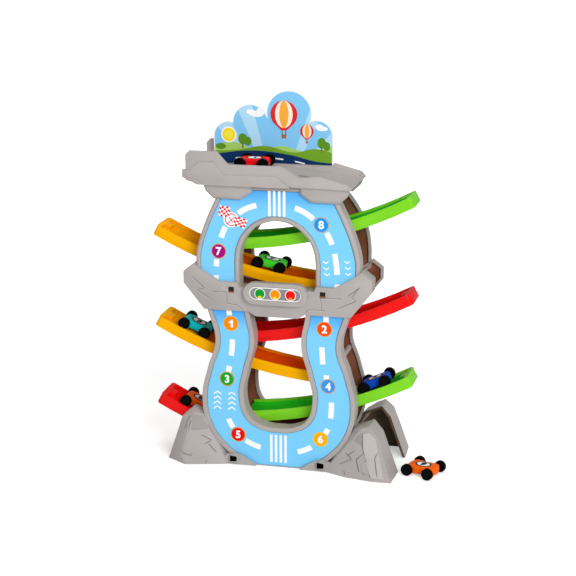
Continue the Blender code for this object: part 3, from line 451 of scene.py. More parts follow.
# Painted shadow at the floors of the screw sockets
SOCKET_PAINTED_SHADOW = MouldedPlastic("painted_socket_shadow", "#2b2019", "#201712", roughness=0.7,
                             cloud_mm=5.0, skin_mm=0.8, skin_height_mm=0.03)
SCREW_STEEL = PlatedSteel("zinc_plated_steel", "#c3c7ca", "#8f9499")
# Road films whose blue darkens upwards under the deck and the belt: painted shade
UPPER_FILM = PrintedFilm("upper_road_printed_film", "#7fd3ff", "#55b2fb", (306.0, 336.0))
LOWER_FILM = PrintedFilm("lower_road_printed_film", "#7fd3ff", "#55b2fb", (164.0, 190.0))
WHITE_INK = PrintedFilm("white_ink", "#ffffff")
RED_INK = PrintedFilm("red_ink", "#ea1014")


# Mesh helpers

class Knot(NamedTuple):
    """A point that an outline runs through: x and z, and whether it turns sharply there."""

    x: float
    z: float
    sharp: bool = False


def mirrored(right: Sequence[Knot]) -> list[Knot]:
    """Complete the right half of an outline with its mirror image."""
    return list(right) + [Knot(-k.x, k.z, k.sharp) for k in reversed(right) if k.x > 0]


def corners(points: Iterable[Pair]) -> list[Knot]:
    """Return an outline whose knots are all sharp."""
    return [Knot(x, z, True) for x, z in points]


def linked(name: str, data: Optional[bpy.types.ID]) -> bpy.types.Object:
    """Put some data into the scene.

    Args:
        name: the object's name.
        data: its mesh, curve, lamp or camera.

    Returns:
        The object.
    """
    thing = bpy.data.objects.new(name, data)
    bpy.context.scene.collection.objects.link(thing)
    return thing


def mesh_from(bm: BMesh, name: str) -> bpy.types.Mesh:
    """Turn a bmesh, which is used up, into a mesh.

    Args:
        bm: the shape.
        name: the mesh's name.

    Returns:
        The mesh.
    """
    mesh = bpy.data.meshes.new(name)
    bm.to_mesh(mesh)
    bm.free()
    return mesh


def evaluated(thing: bpy.types.Object) -> BMesh:
    """Read an object as a bmesh, with its modifiers or its curve worked out.

    Args:
        thing: the object.

    Returns:
        The shape.
    """
    bpy.context.view_layer.update()
    ready = thing.evaluated_get(bpy.context.evaluated_depsgraph_get())
    mesh = bpy.data.meshes.new_from_object(ready)
    bm = bmesh.new()
    bm.from_mesh(mesh)
    bpy.data.meshes.remove(mesh)
    return bm


def stand(bm: BMesh, depth: float) -> BMesh:
    """Turn a shape drawn flat in x and y upright, so that it faces the front.

    Args:
        bm: the shape.
        depth: where it lies from front to back.

    Returns:
        The same bmesh.
    """
    bm.transform(Matrix.Translation((0.0, depth, 0.0)) @ UPRIGHT)
    bm.normal_update()
    return bm


def filled(data: bpy.types.ID) -> BMesh:
    """Read a flat curve or text as a mesh of large faces.

    Args:
        data: the curve or text.

    Returns:
        A bmesh with the shape filled, in the plane of x and y.
    """
    thing = linked("outline", data)
    bm = evaluated(thing)
    bpy.data.objects.remove(thing, do_unlink=True)
    bmesh.ops.remove_doubles(bm, verts=bm.verts, dist=MERGE)
    bmesh.ops.dissolve_limit(bm, angle_limit=FLAT_OUTLINE, verts=bm.verts, edges=bm.edges)
    if bm.faces and bm.faces[:][0].normal.z < 0:
        bmesh.ops.reverse_faces(bm, faces=bm.faces)
    return bm


def flat_face(knots: Sequence[Knot], depth: float = 0.0, steps: int = 10) -> BMesh:
    """Fill a closed outline that runs smoothly through its knots, or turns at the sharp ones.

    Args:
        knots: the outline's points in order.
        depth: where the face lies from front to back.
        steps: how finely each stretch between two knots is cut.

    Returns:
        A bmesh with the face, looking to the front.
    """
    curve = bpy.data.curves.new("outline", "CURVE")
    curve.dimensions = "2D"
    curve.fill_mode = "BOTH"
    curve.resolution_u = steps
    spline = curve.splines.new("BEZIER")
    spline.bezier_points.add(len(knots) - 1)
    spline.use_cyclic_u = True
    for point, knot in zip(spline.bezier_points, knots):
        point.co = (knot.x, knot.z, 0.0)
        kind = "VECTOR" if knot.sharp else "AUTO"
        point.handle_left_type = point.handle_right_type = kind
    bm = filled(curve)
    spare = [v for v in bm.verts if len(v.link_edges) == 2 and v.calc_edge_angle(pi) < STRAIGHT]
    bmesh.ops.dissolve_verts(bm, verts=spare)
    return stand(bm, depth)


def swept(bm: BMesh) -> list[bmesh.types.BMVert]:
    """Extrude every face, keep the old ones, and return the new points."""
    made = bmesh.ops.extrude_face_region(bm, geom=bm.faces[:], use_keep_orig=True)
    return [item for item in made["geom"] if isinstance(item, bmesh.types.BMVert)]


def thicken(bm: BMesh, thickness: float) -> BMesh:
    """Give flat faces a thickness towards the back.

    Args:
        bm: the faces.
        thickness: how far the new faces lie behind them.

    Returns:
        The same bmesh, closed.
    """
    bmesh.ops.translate(bm, verts=swept(bm), vec=(0.0, thickness, 0.0))
    bmesh.ops.recalc_face_normals(bm, faces=bm.faces)
    return bm


def plate(points: Iterable[Pair], front: float, thickness: float) -> BMesh:
    """Make a closed plate with straight edges between corners, its face at a depth."""
    return thicken(flat_face(corners(points), front), thickness)


def disc(x: float, z: float, radius: float, front: float, thickness: float,
         steps: int = 40) -> BMesh:
    """Make a flat round disc that faces the front.

    Args:
        x: its middle from side to side.
        z: its middle from top to bottom.
        radius: its radius.
        front: the depth of its face.
        thickness: how thick it is.
        steps: the number of its sides.

    Returns:
        The closed disc.
    """
    bm = bmesh.new()
    middle = Matrix.Translation((x, front + thickness / 2, z)) @ UPRIGHT
    bmesh.ops.create_cone(bm, cap_ends=True, segments=steps, radius1=radius, radius2=radius,
                          depth=thickness, matrix=middle)
    return bm


def block(low: Sequence[float], high: Sequence[float]) -> BMesh:
    """Make a box.

    Args:
        low: its corner at the left, front and bottom.
        high: its corner at the right, back and top.

    Returns:
        The closed box.
    """
    bm = bmesh.new()
    size = [b - a for a, b in zip(low, high)]
    middle = Matrix.Translation([(a + b) / 2 for a, b in zip(low, high)])
    bmesh.ops.create_cube(bm, size=1.0, matrix=middle @ Matrix.Diagonal((*size, 1.0)))
    return bm


def stadium(z: float, half_length: float, half_height: float, front: float,
            thickness: float, sides: int = 48) -> BMesh:
    """Make a flat bar with round ends that faces the front, in the middle of the tower.

    Args:
        z: its middle from top to bottom.
        half_length: half its length.
        half_height: half its height, which is the radius of its ends.
        front: the depth of its face.
        thickness: how thick it is.
        sides: the number of sides that both ends have together.

    Returns:
        The closed bar.
    """
    bm = bmesh.new()
    bmesh.ops.create_circle(bm, cap_ends=True, segments=sides, radius=half_height,
                            matrix=Matrix.Rotation(pi / sides, 4, "Z"))
    for side in (-1, 1):
        half = [v for v in bm.verts if v.co.x * side > 0]
        bmesh.ops.translate(bm, verts=half, vec=(side * (half_length - half_height), 0.0, 0.0))
    stand(bm, front)
    bmesh.ops.translate(bm, verts=bm.verts, vec=(0.0, 0.0, z))
    return thicken(bm, thickness)


def join(into: BMesh, *parts: BMesh, slot: Optional[int] = 0) -> BMesh:
    """Add other shapes, which are used up, to a bmesh.

    Args:
        into: the bmesh that takes them.
        parts: the other shapes.
        slot: the material slot that they get, or None where they keep their own.

    Returns:
        The first bmesh.
    """
    for part in parts:
        for face in part.faces if slot is not None else ():
            face.material_index = slot
        mesh = mesh_from(part, "part")
        into.from_mesh(mesh)
        bpy.data.meshes.remove(mesh)
    return into


def gathered(*parts: BMesh) -> BMesh:
    """Return a new bmesh with some shapes in its first material slot."""
    return join(bmesh.new(), *parts)


def round_edges(bm: BMesh, edges: Iterable[Edge], width: float, segments: int = 2) -> None:
    """Round some edges over by a width, without letting the rounds overlap."""
    bmesh.ops.bevel(bm, geom=list(edges), offset=width, offset_type="OFFSET", segments=segments,
                    profile=0.5, affect="EDGES", clamp_overlap=True, material=-1)


def sharp_edges(bm: BMesh, least_degrees: float) -> list[Edge]:
    """Return the edges where two faces meet at more than an angle."""
    least = radians(least_degrees)
    return [e for e in bm.edges if len(e.link_faces) == 2 and e.calc_face_angle(0.0) > least]


def inset(bm: BMesh, face: Face, width: float, depth: float = 0.0) -> list[Face]:
    """Draw a face in from its edge, in its own plane or with a step.

    Args:
        bm: the shape.
        face: the face, which becomes the inner one.
        width: how far it is drawn in.
        depth: how far it rises, or sinks where it is negative.

    Returns:
        The new faces round it.
    """
    made = bmesh.ops.inset_region(bm, faces=[face], thickness=width, depth=depth,
                                  use_boundary=True, use_even_offset=depth == 0.0)
    return made["faces"]


def publish(bm: BMesh, name: str, *finishes: Finish, body: str = TOWER, nodes: Sequence[str] = (),
            slot: str = "", smooth_degrees: float = 35.0) -> None:
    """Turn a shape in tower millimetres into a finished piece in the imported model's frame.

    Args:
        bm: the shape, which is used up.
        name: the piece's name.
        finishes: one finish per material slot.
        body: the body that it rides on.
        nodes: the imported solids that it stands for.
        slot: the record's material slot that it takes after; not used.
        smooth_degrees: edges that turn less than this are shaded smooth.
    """
    bmesh.ops.remove_doubles(bm, verts=bm.verts, dist=MERGE)
    bmesh.ops.recalc_face_normals(bm, faces=bm.faces)
    bm.transform(TO_WORLD)
    for face in bm.faces:
        face.smooth = True
    limit = radians(smooth_degrees)
    for edge in bm.edges:
        edge.smooth = len(edge.link_faces) == 2 and edge.calc_face_angle(0.0) < limit
    mesh = mesh_from(bm, name)
    for finish in finishes:
        mesh.materials.append(finish.material())
    piece = linked(name, mesh)
    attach(piece, body)
    if nodes:
        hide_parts(*nodes)
    LOG.info("%s: %d faces on %s", name, len(mesh.polygons), body)


def copy_of(node: str) -> BMesh:
    """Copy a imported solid, merged and with its flat faces joined up.

    Args:
        node: the solid's name.

    Returns:
        The copy in tower millimetres.
    """
    bm = bmesh.new()
    bm.from_mesh(bpy.data.objects[node].data)
    bm.transform(TO_TOWER)
    bmesh.ops.remove_doubles(bm, verts=bm.verts, dist=MERGE)
    bmesh.ops.dissolve_limit(bm, angle_limit=FLAT_SOLID, verts=bm.verts, edges=bm.edges)
    return bm


def shade_hollow(bm: BMesh, open_depth: float, rim: float = 0.2, start: float = 0.05,
                 reach: float = 60.0, level: float = 0.5) -> None:
    """Give the faces inside a hollow that opens to the front the second slot, for painted shade.

    Args:
        bm: the shape.
        open_depth: the depth of the hollow's open edge.
        rim: faces nearer than this behind the open edge belong to the outside.
        start: how far off its face a look from one wall to the next begins.
        reach: how far a wall may lie from the one that it faces.
        level: how far a face may turn to the front or back and still be a wall.
    """
    tree = BVHTree.FromBMesh(bm)
    for face in bm.faces:
        middle, facing = face.calc_center_median(), face.normal
        if middle.y < open_depth + rim:
            continue
        seen = tree.ray_cast(middle + facing * start, facing, reach)[0]
        if facing.y < -level or (seen is not None and abs(facing.y) < level):
            face.material_index = 1


def boolean(base: BMesh, tool: BMesh, operation: str) -> BMesh:
    """Combine two closed shapes, which are used up, with an exact Boolean.

    Args:
        base: the shape that is kept.
        tool: the other shape.
        operation: UNION, DIFFERENCE or INTERSECT.

    Returns:
        The result as a new bmesh.
    """
    things = [linked(label, mesh_from(bm, label)) for label, bm in (("base", base), ("tool", tool))]
    modifier = things[0].modifiers.new("cut", "BOOLEAN")
    modifier.operation = operation
    modifier.solver = "EXACT"
    modifier.object = things[1]
    result = evaluated(things[0])
    for thing in things:
        data = thing.data
        bpy.data.objects.remove(thing, do_unlink=True)
        bpy.data.meshes.remove(data)
    return result


class Surface:
    """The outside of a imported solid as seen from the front, to lay relief on."""

    far_front = -200.0
    backwards = Vector((0.0, 1.0, 0.0))
    widening = 3.0

    def __init__(self, node: str) -> None:
        """Gather the solid.

        Args:
            node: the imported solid's name.
        """
        bm = copy_of(node)
        self.tree = BVHTree.FromBMesh(bm)
        bm.free()

    def spot(self, x: float, z: float) -> tuple[Vector, Vector]:
        """Find the surface straight behind a point of the front view.

        Args:
            x: the place from side to side.
            z: the place from top to bottom.

        Returns:
            The place on the surface and the surface's direction there.
        """
        start = Vector((x, self.far_front, z))
        place, facing, _, _ = self.tree.ray_cast(start, self.backwards)
        if place is None:
            raise ValueError(f"nothing lies behind x {x} and z {z}")
        return place, facing

    def line(self, points: Sequence[Pair], width: float = 0.7, lift: float = 0.1,
             sink: float = 0.5, step: float = 1.6, taper: float = 0.35) -> BMesh:
        """Lay a thin strip that follows the surface and narrows towards both ends.

        Args:
            points: the line's corners as x and z.
            width: the strip's width in its middle.
            lift: how far the strip stands out of the surface.
            sink: how deep it is let in.
            step: the distance between two of its cross-sections.
            taper: its width at the ends, as a share.

        Returns:
            The closed strip.
        """
        spots = []
        for start, end in zip(points, points[1:]):
            a, b = Vector(start), Vector(end)
            count = max(1, round((b - a).length / step))
            spots += [a.lerp(b, index / count) for index in range(count)]
        spots.append(Vector(points[-1]))
        laid = [self.spot(p.x, p.y) for p in spots]
        bm = bmesh.new()
        rings = []
        for index, (place, facing) in enumerate(laid):
            run = laid[min(index + 1, len(laid) - 1)][0] - laid[max(index - 1, 0)][0]
            inward = 1 - abs(2 * index / (len(laid) - 1) - 1)
            share = taper + (1 - taper) * min(1.0, inward * self.widening)
            off = run.cross(facing).normalized() * width / 2 * share
            rings.append([bm.verts.new(place + off * side + facing * height)
                          for side, height in ((-1, lift), (1, lift), (1, -sink), (-1, -sink))])
        for first, second in zip(rings, rings[1:]):
            for index in range(4):
                after = (index + 1) % 4
                bm.faces.new((first[index], first[after], second[after], second[index]))
        bm.faces.new(rings[0])
        bm.faces.new(rings[-1])
        bmesh.ops.recalc_face_normals(bm, faces=bm.faces)
        return bm

    def slab(self, points: Sequence[Pair], rises: Pair, front_limit: float, sink: float = 0.6,
             chamfer: float = 0.45, cell: float = 5.0) -> BMesh:
        """Raise a slab on the surface over an outline of the front view.

        Args:
            points: the outline's corners as x and z.
            rises: how far the slab stands out at its left and at its right edge.
            front_limit: the least y that it may reach.
            sink: how deep it is let in.
            chamfer: the round of its upper edge.
            cell: the size of the pieces that follow the surface.

        Returns:
            The closed slab.
        """
        bm = flat_face(corners(points))
        for axis, way in enumerate((Vector((1.0, 0.0, 0.0)), Vector((0.0, 0.0, 1.0)))):
            low, high = min(p[axis] for p in points), max(p[axis] for p in points)
            for index in range(1, int((high - low) / cell) + 1):
                bmesh.ops.bisect_plane(bm, geom=bm.verts[:] + bm.edges[:] + bm.faces[:],
                                       plane_co=way * (low + index * cell), plane_no=way)
        left, right = min(p[0] for p in points), max(p[0] for p in points)
        tops = {}
        for vert in bm.verts:
            depth = self.spot(vert.co.x, vert.co.z)[0].y
            share = (vert.co.x - left) / (right - left)
            rise = rises[0] + (rises[1] - rises[0]) * share
            tops[(round(vert.co.x, 3), round(vert.co.z, 3))] = max(depth - rise, front_limit)
            vert.co.y = depth + sink
        raised = swept(bm)
        for vert in raised:
            vert.co.y = tops[(round(vert.co.x, 3), round(vert.co.z, 3))]
        bmesh.ops.recalc_face_normals(bm, faces=bm.faces)
        top = set(raised)
        brink = [e for e in bm.edges if all(v in top for v in e.verts)
                 and any(any(v not in top for v in f.verts) for f in e.link_faces)]
        round_edges(bm, brink, chamfer)
        return bm


# Road panels

ROAD_FACE = -33.0
RIM_FACE = -35.0
FRONT_OPEN = -17.0
BACK_OPEN = 29.0
BACK_FACE = 35.0
# Small hidden rounds, such as bosses and posts, have this many sides
BOSS_SIDES = 24

ARCH_KNOTS = [Knot(63.6, 339.2, True), Knot(71.3, 325.0), Knot(78.7, 310.0), Knot(85.3, 295.0),
              Knot(91.0, 280.0), Knot(95.4, 265.0), Knot(97.5, 252.0), Knot(97.5, 249.0, True),
              Knot(97.5, 234.0, True), Knot(91.6, 230.0, True), Knot(68.5, 216.5, True),
              Knot(45.0, 211.0, True), Knot(45.0, 243.0, True), Knot(45.0, 250.0),
              Knot(41.6, 268.4), Knot(31.8, 283.9), Knot(17.2, 294.3), Knot(0.0, 298.0)]
BACK_ARCH_KNOTS = [Knot(54.5, 339.2, True), Knot(68.4, 325.0), Knot(80.0, 310.0),
                   Knot(88.4, 295.0), Knot(94.0, 280.0), Knot(96.8, 265.0)] + ARCH_KNOTS[6:]
LOOP_KNOTS = [Knot(0.0, 48.7), Knot(17.0, 50.3), Knot(34.0, 60.0), Knot(41.8, 86.0),
              Knot(37.0, 115.0), Knot(28.3, 152.0), Knot(34.0, 190.2), Knot(34.8, 198.0, True),
              Knot(86.4, 198.0, True), Knot(84.6, 190.2), Knot(75.2, 152.0), Knot(84.9, 119.0),
              Knot(92.5, 82.0), Knot(85.5, 44.0), Knot(64.0, 16.0), Knot(40.0, 0.0, True)]


class Facing(Enum):
    """Which way a panel's outer face looks."""

    FRONT = -1
    BACK = 1


@dataclass
class Ramp:
    """One curved ramp: an arc that rises to its high end, on the left or on the right.

    Places along the ramp are given as u, the distance from the tower's middle to the high end.
    """

    number: int
    colour: str
    side: int
    low_z: float
    low_u: float
    radius: float = 484.0
    centre_u: float = -80.0
    height: float = 13.0
    peg_inset: float = 5.0
    peg_high_u: float = 66.0
    middle_y: float = 6.0
    inner_half_width: float = 20.4
    brim: float = 1.0
    edge_round: float = 0.7
    edge_degrees: float = 40.0
    end_facing: float = 0.7
    under_facing: float = -0.3

    def pegs(self) -> list[Pair]:
        """Work out where the ramp's pegs stand, from its arc.

        Returns:
            The x and z of its two pegs.
        """
        places = []
        reach = self.radius + self.height / 2
        for u in (self.low_u + self.peg_inset, self.peg_high_u):
            angle = asin((u - self.centre_u) / self.radius)
            places.append((self.side * (self.centre_u + reach * sin(angle)),
                           self.low_z + self.radius - reach * cos(angle)))
        return places

    def lies_inside(self, face: Face) -> bool:
        """Tell whether a face belongs to the trough's floor or to the inner side of a wall, where
        painted shade goes.

        Args:
            face: a face of the ramp.

        Returns:
            Whether it lies between the walls, above the underside and not at the high end.
        """
        middle = face.calc_center_median()
        reach = sqrt((middle.x - self.side * self.centre_u) ** 2
                     + (middle.z - self.low_z - self.radius) ** 2)
        return (abs(middle.y - self.middle_y) < self.inner_half_width
                and face.normal.z > self.under_facing
                and face.normal.x * self.side <= self.end_facing
                and reach > self.radius + self.brim)

    def build(self) -> None:
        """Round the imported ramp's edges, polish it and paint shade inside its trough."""
        node = f"ramp_{self.number}_{self.colour}"
        bm = copy_of(node)
        for face in bm.faces:
            # Faces inside the trough take the painted trough shade
            face.material_index = 1 if self.lies_inside(face) else 0
        round_edges(bm, sharp_edges(bm, self.edge_degrees), self.edge_round)
        publish(bm, node + "_track", *TRACKS[self.colour], nodes=[node],
                slot="track_" + self.colour)


RAMPS = [Ramp(1, "green", 1, 271.6, -56.0), Ramp(2, "yellow", -1, 225.4, -56.0),
         Ramp(3, "red", 1, 158.3, -48.0), Ramp(4, "yellow", -1, 114.1, -56.0),
         Ramp(5, "green", 1, 59.2, -46.0), Ramp(6, "red", -1, 16.5, -46.0)]


@dataclass
class RoadPanel:
    """A hollow half-shell of the tower, with a sunk road face where it looks to the front.

    The floor of the sunk face is painted dark as shadow, so that the gap round the film reads as a
    fine shadow line.
    """

    node: str
    knots: Sequence[Knot]
    facing: Facing
    levels: Pair
    posts: Sequence[Pair] = ()
    wall: float = 3.0
    step: float = 0.2
    rim_width: float = 5.5
    rim_raise: float = 2.0
    rim_degrees: float = 50.0
    rim_slack: float = 0.01
    outer_reach: float = 3.0
    foot_reach: float = 6.5
    foot_z: float = 1.0
    lip_round: float = 1.8
    lip_segments: int = 4
    rim_round: float = 3.2
    rim_segments: int = 5
    back_round: float = 1.2
    post_radius: float = 3.5
    post_length: float = 62.5
    boss_radius: float = 4.5
    boss_front: float = -31.0
    boss_length: float = 13.8
    back_boss_length: float = 3.5
    smooth_degrees: float = 32.0

    def sink_road(self, bm: BMesh, face: Face) -> None:
        """Leave a rim round the face and sink the rest, down to the very foot.

        Args:
            bm: the shell.
            face: its front face.
        """
        inset(bm, face, self.rim_width)
        for vert in face.verts:
            if vert.co.z < self.foot_reach:
                vert.co.z = self.foot_z
        inset(bm, face, self.step, -self.rim_raise)
        # The sunk floor takes the painted shadow
        face.material_index = 2
        top = min(v.co.y for v in bm.verts)
        rim = [e for e in sharp_edges(bm, self.rim_degrees)
               if all(v.co.y < top + self.rim_slack for v in e.verts)]
        outer = [e for e in rim if any(f.calc_center_median().y > top + self.outer_reach
                                       for f in e.link_faces)]
        lip = [e for e in rim if e not in outer]
        round_edges(bm, lip, self.lip_round, self.lip_segments)
        round_edges(bm, [e for e in outer if e.is_valid], self.rim_round, self.rim_segments)

    def shell(self) -> BMesh:
        """Make the open-backed shell.

        Returns:
            The shell, its hollow in the second slot, which holds painted shade.
        """
        to_front = self.facing is Facing.FRONT
        face_depth, open_depth = (RIM_FACE, FRONT_OPEN) if to_front else (-BACK_FACE, -BACK_OPEN)
        bm = thicken(flat_face(self.knots, face_depth), open_depth - face_depth)
        back = max(bm.faces, key=lambda f: f.calc_center_median().y)
        inset(bm, back, self.wall)
        ring = inset(bm, back, self.step, face_depth + self.wall - open_depth)
        # The hollow's faces take the painted shade
        for inner in [back] + ring:
            inner.material_index = 1
        front = min(bm.faces, key=lambda f: f.calc_center_median().y)
        if to_front:
            self.sink_road(bm, front)
        else:
            round_edges(bm, front.edges, self.back_round)
            bmesh.ops.scale(bm, vec=(1.0, -1.0, 1.0), verts=bm.verts)
        return bm

    def bars(self) -> list[BMesh]:
        """Make the bosses for the ramps' pegs, and the posts through to the back panel.

        Returns:
            The bosses and posts, each closed.
        """
        low, high = self.levels
        pegs = [(x, z) for ramp in RAMPS for x, z in ramp.pegs() if low < z < high]
        if self.facing is Facing.BACK:
            return [disc(x, z, self.boss_radius, BACK_OPEN + self.step, self.back_boss_length,
                         BOSS_SIDES) for x, z in pegs]
        return ([disc(x, z, self.boss_radius, self.boss_front, self.boss_length, BOSS_SIDES)
                 for x, z in pegs]
                + [disc(x, z, self.post_radius, self.boss_front, self.post_length, BOSS_SIDES)
                   for x, z in self.posts])

    def build(self) -> None:
        """Build the panel."""
        bm = join(gathered(*self.bars()), self.shell(), slot=None)
        publish(bm, self.node + "_shell", STONE, HOLLOW_PAINTED_SHADE, STONE_PAINTED_SHADOW, nodes=[self.node],
                slot="stone_grey", smooth_degrees=self.smooth_degrees)


@dataclass
class RoadLabel:
    """The printed road film in a panel's sunk face, cut a little inside the rim."""

    node: str
    knots: Sequence[Knot]
    finish: Finish
    margin: float = 6.2
    thickness: float = 0.4
    gap: float = 0.05
    foot_reach: float = 7.2
    foot_z: float = 1.3

    def build(self) -> None:
        """Build the film."""
        bm = flat_face(self.knots, ROAD_FACE - self.thickness)
        ring = inset(bm, bm.faces[:][0], self.margin)
        bmesh.ops.delete(bm, geom=ring, context="FACES")
        for vert in bm.verts:
            if vert.co.z < self.foot_reach:
                vert.co.z = self.foot_z
        publish(thicken(bm, self.thickness - self.gap), self.node + "_film", self.finish,
                nodes=[self.node], slot="road_blue")


# Printed road markings

INK_DEPTH = ROAD_FACE - 0.4
INK = 0.08
INK_SIDES = 48
DASH_STEPS = 8
NUMERAL_STEPS = 6


def layer(count: int) -> float:
    """Return the depth of the face of an ink layer, counted from the film."""
    return INK_DEPTH - count * INK


def dash(points: Sequence[Pair], width: float = 6.4) -> BMesh:
    """Print one dash of the centre line, bent along two or three points.

    Args:
        points: the ends of its middle line, with the point half-way between them where it bends.
        width: the dash's width.

    Returns:
        The dash as a thin plate.
    """
    start, end = Vector(points[0]), Vector(points[-1])
    middle = Vector(points[1]) if len(points) == 3 else (start + end) / 2
    control = 2 * middle - (start + end) / 2
    bm = bmesh.new()
    bmesh.ops.create_grid(bm, x_segments=DASH_STEPS, y_segments=1, size=0.5)
    for vert in bm.verts:
        t = vert.co.x + 0.5
        place = start * (1 - t) ** 2 + control * 2 * t * (1 - t) + end * t ** 2
        run = ((control - start) * (1 - t) + (end - control) * t).normalized()
        off = Vector((-run.y, run.x)) * vert.co.y * width
        vert.co = (place.x + off.x, place.y + off.y, 0.0)
    return thicken(stand(bm, layer(1)), INK)


def chevron(x: float, z: float, half_width: float, rise: float, stroke: float) -> BMesh:
    """Print one chevron.

    Args:
        x: its middle from side to side.
        z: its middle from top to bottom.
        half_width: half its width.
        rise: how far its point lies above its ends, or below them where it is negative.
        stroke: the height of its stroke.

    Returns:
        The chevron as a thin plate.
    """
    end, point = z - rise / 2, z + rise / 2
    tall = stroke * (1 if rise > 0 else -1)
    return plate([(x - half_width, end), (x - half_width, end - tall), (x, point - tall),
                  (x + half_width, end - tall), (x + half_width, end), (x, point)], layer(1), INK)


# A plain 1 with a flag at its top and a straight foot, in shares of its height
FLAGGED_ONE = ((-0.02, -0.5), (0.28, -0.5), (0.28, 0.5), (0.06, 0.5), (-0.05, 0.34),
               (-0.28, 0.22), (-0.28, -0.02), (-0.02, 0.08))
# A font's digits are this high for a text size of 1
DIGIT_SHARE = 0.72


def numeral(text: str, x: float, z: float, height: float, depth: float, heavier: float) -> BMesh:
    """Print a plain numeral, centred on a place.

    Args:
        text: the digit.
        x: its middle from side to side.
        z: its middle from top to bottom.
        height: its height.
        depth: the depth of its face.
        heavier: how far each stroke is swollen.

    Returns:
        The numeral as a thin plate.
    """
    if text == "1":
        bm = flat_face(corners([(a * height, b * height) for a, b in FLAGGED_ONE]), depth)
    else:
        data = bpy.data.curves.new("numeral", "FONT")
        data.body = text
        data.size = height / DIGIT_SHARE
        data.offset = heavier
        data.resolution_u = NUMERAL_STEPS
        bm = stand(filled(data), depth)
    for axis, middle in ((0, x), (2, z)):
        spots = [v.co[axis] for v in bm.verts]
        shift = Vector((0.0, 0.0, 0.0))
        shift[axis] = middle - (min(spots) + max(spots)) / 2
        bmesh.ops.translate(bm, verts=bm.verts, vec=shift)
    return thicken(bm, INK)


@dataclass
class Badge:
    """A round numbered badge on the road."""

    number: int
    x: float
    z: float
    colour: str
    ring: str
    radius: float = 9.1
    ring_width: float = 1.0
    digit_height: float = 9.2
    heavier: float = 0.45

    def build(self) -> None:
        """Build the badge: ring, disc and white numeral."""
        bm = gathered(disc(self.x, self.z, self.radius, layer(2), 2 * INK, INK_SIDES))
        join(bm, disc(self.x, self.z, self.radius - self.ring_width, layer(3), INK, INK_SIDES),
             slot=1)
        join(bm, numeral(str(self.number), self.x, self.z, self.digit_height, layer(4),
                         self.heavier), slot=2)
        name = f"road_badge_{self.number}"
        publish(bm, name, PrintedFilm(name + "_ring", self.ring),
                PrintedFilm(name + "_ink", self.colour), WHITE_INK)


BADGES = [Badge(1, -56.4, 173.4, "#fd8c00", "#ffb000"), Badge(2, 55.7, 173.7, "#f44a00", "#ff9a00"),
          Badge(3, -62.1, 104.9, "#16a32b", "#e0a53c"), Badge(4, 60.2, 104.7, "#3a98ec", "#dba450"),
          Badge(5, -49.4, 36.4, "#ea0008", "#ff9a00"), Badge(6, 51.1, 38.7, "#ffb400", "#ffcb30"),
          Badge(7, -69.8, 259.7, "#a6007f", "#f0a020"), Badge(8, 51.9, 296.8, "#0c98fb", "#cfa64e")]


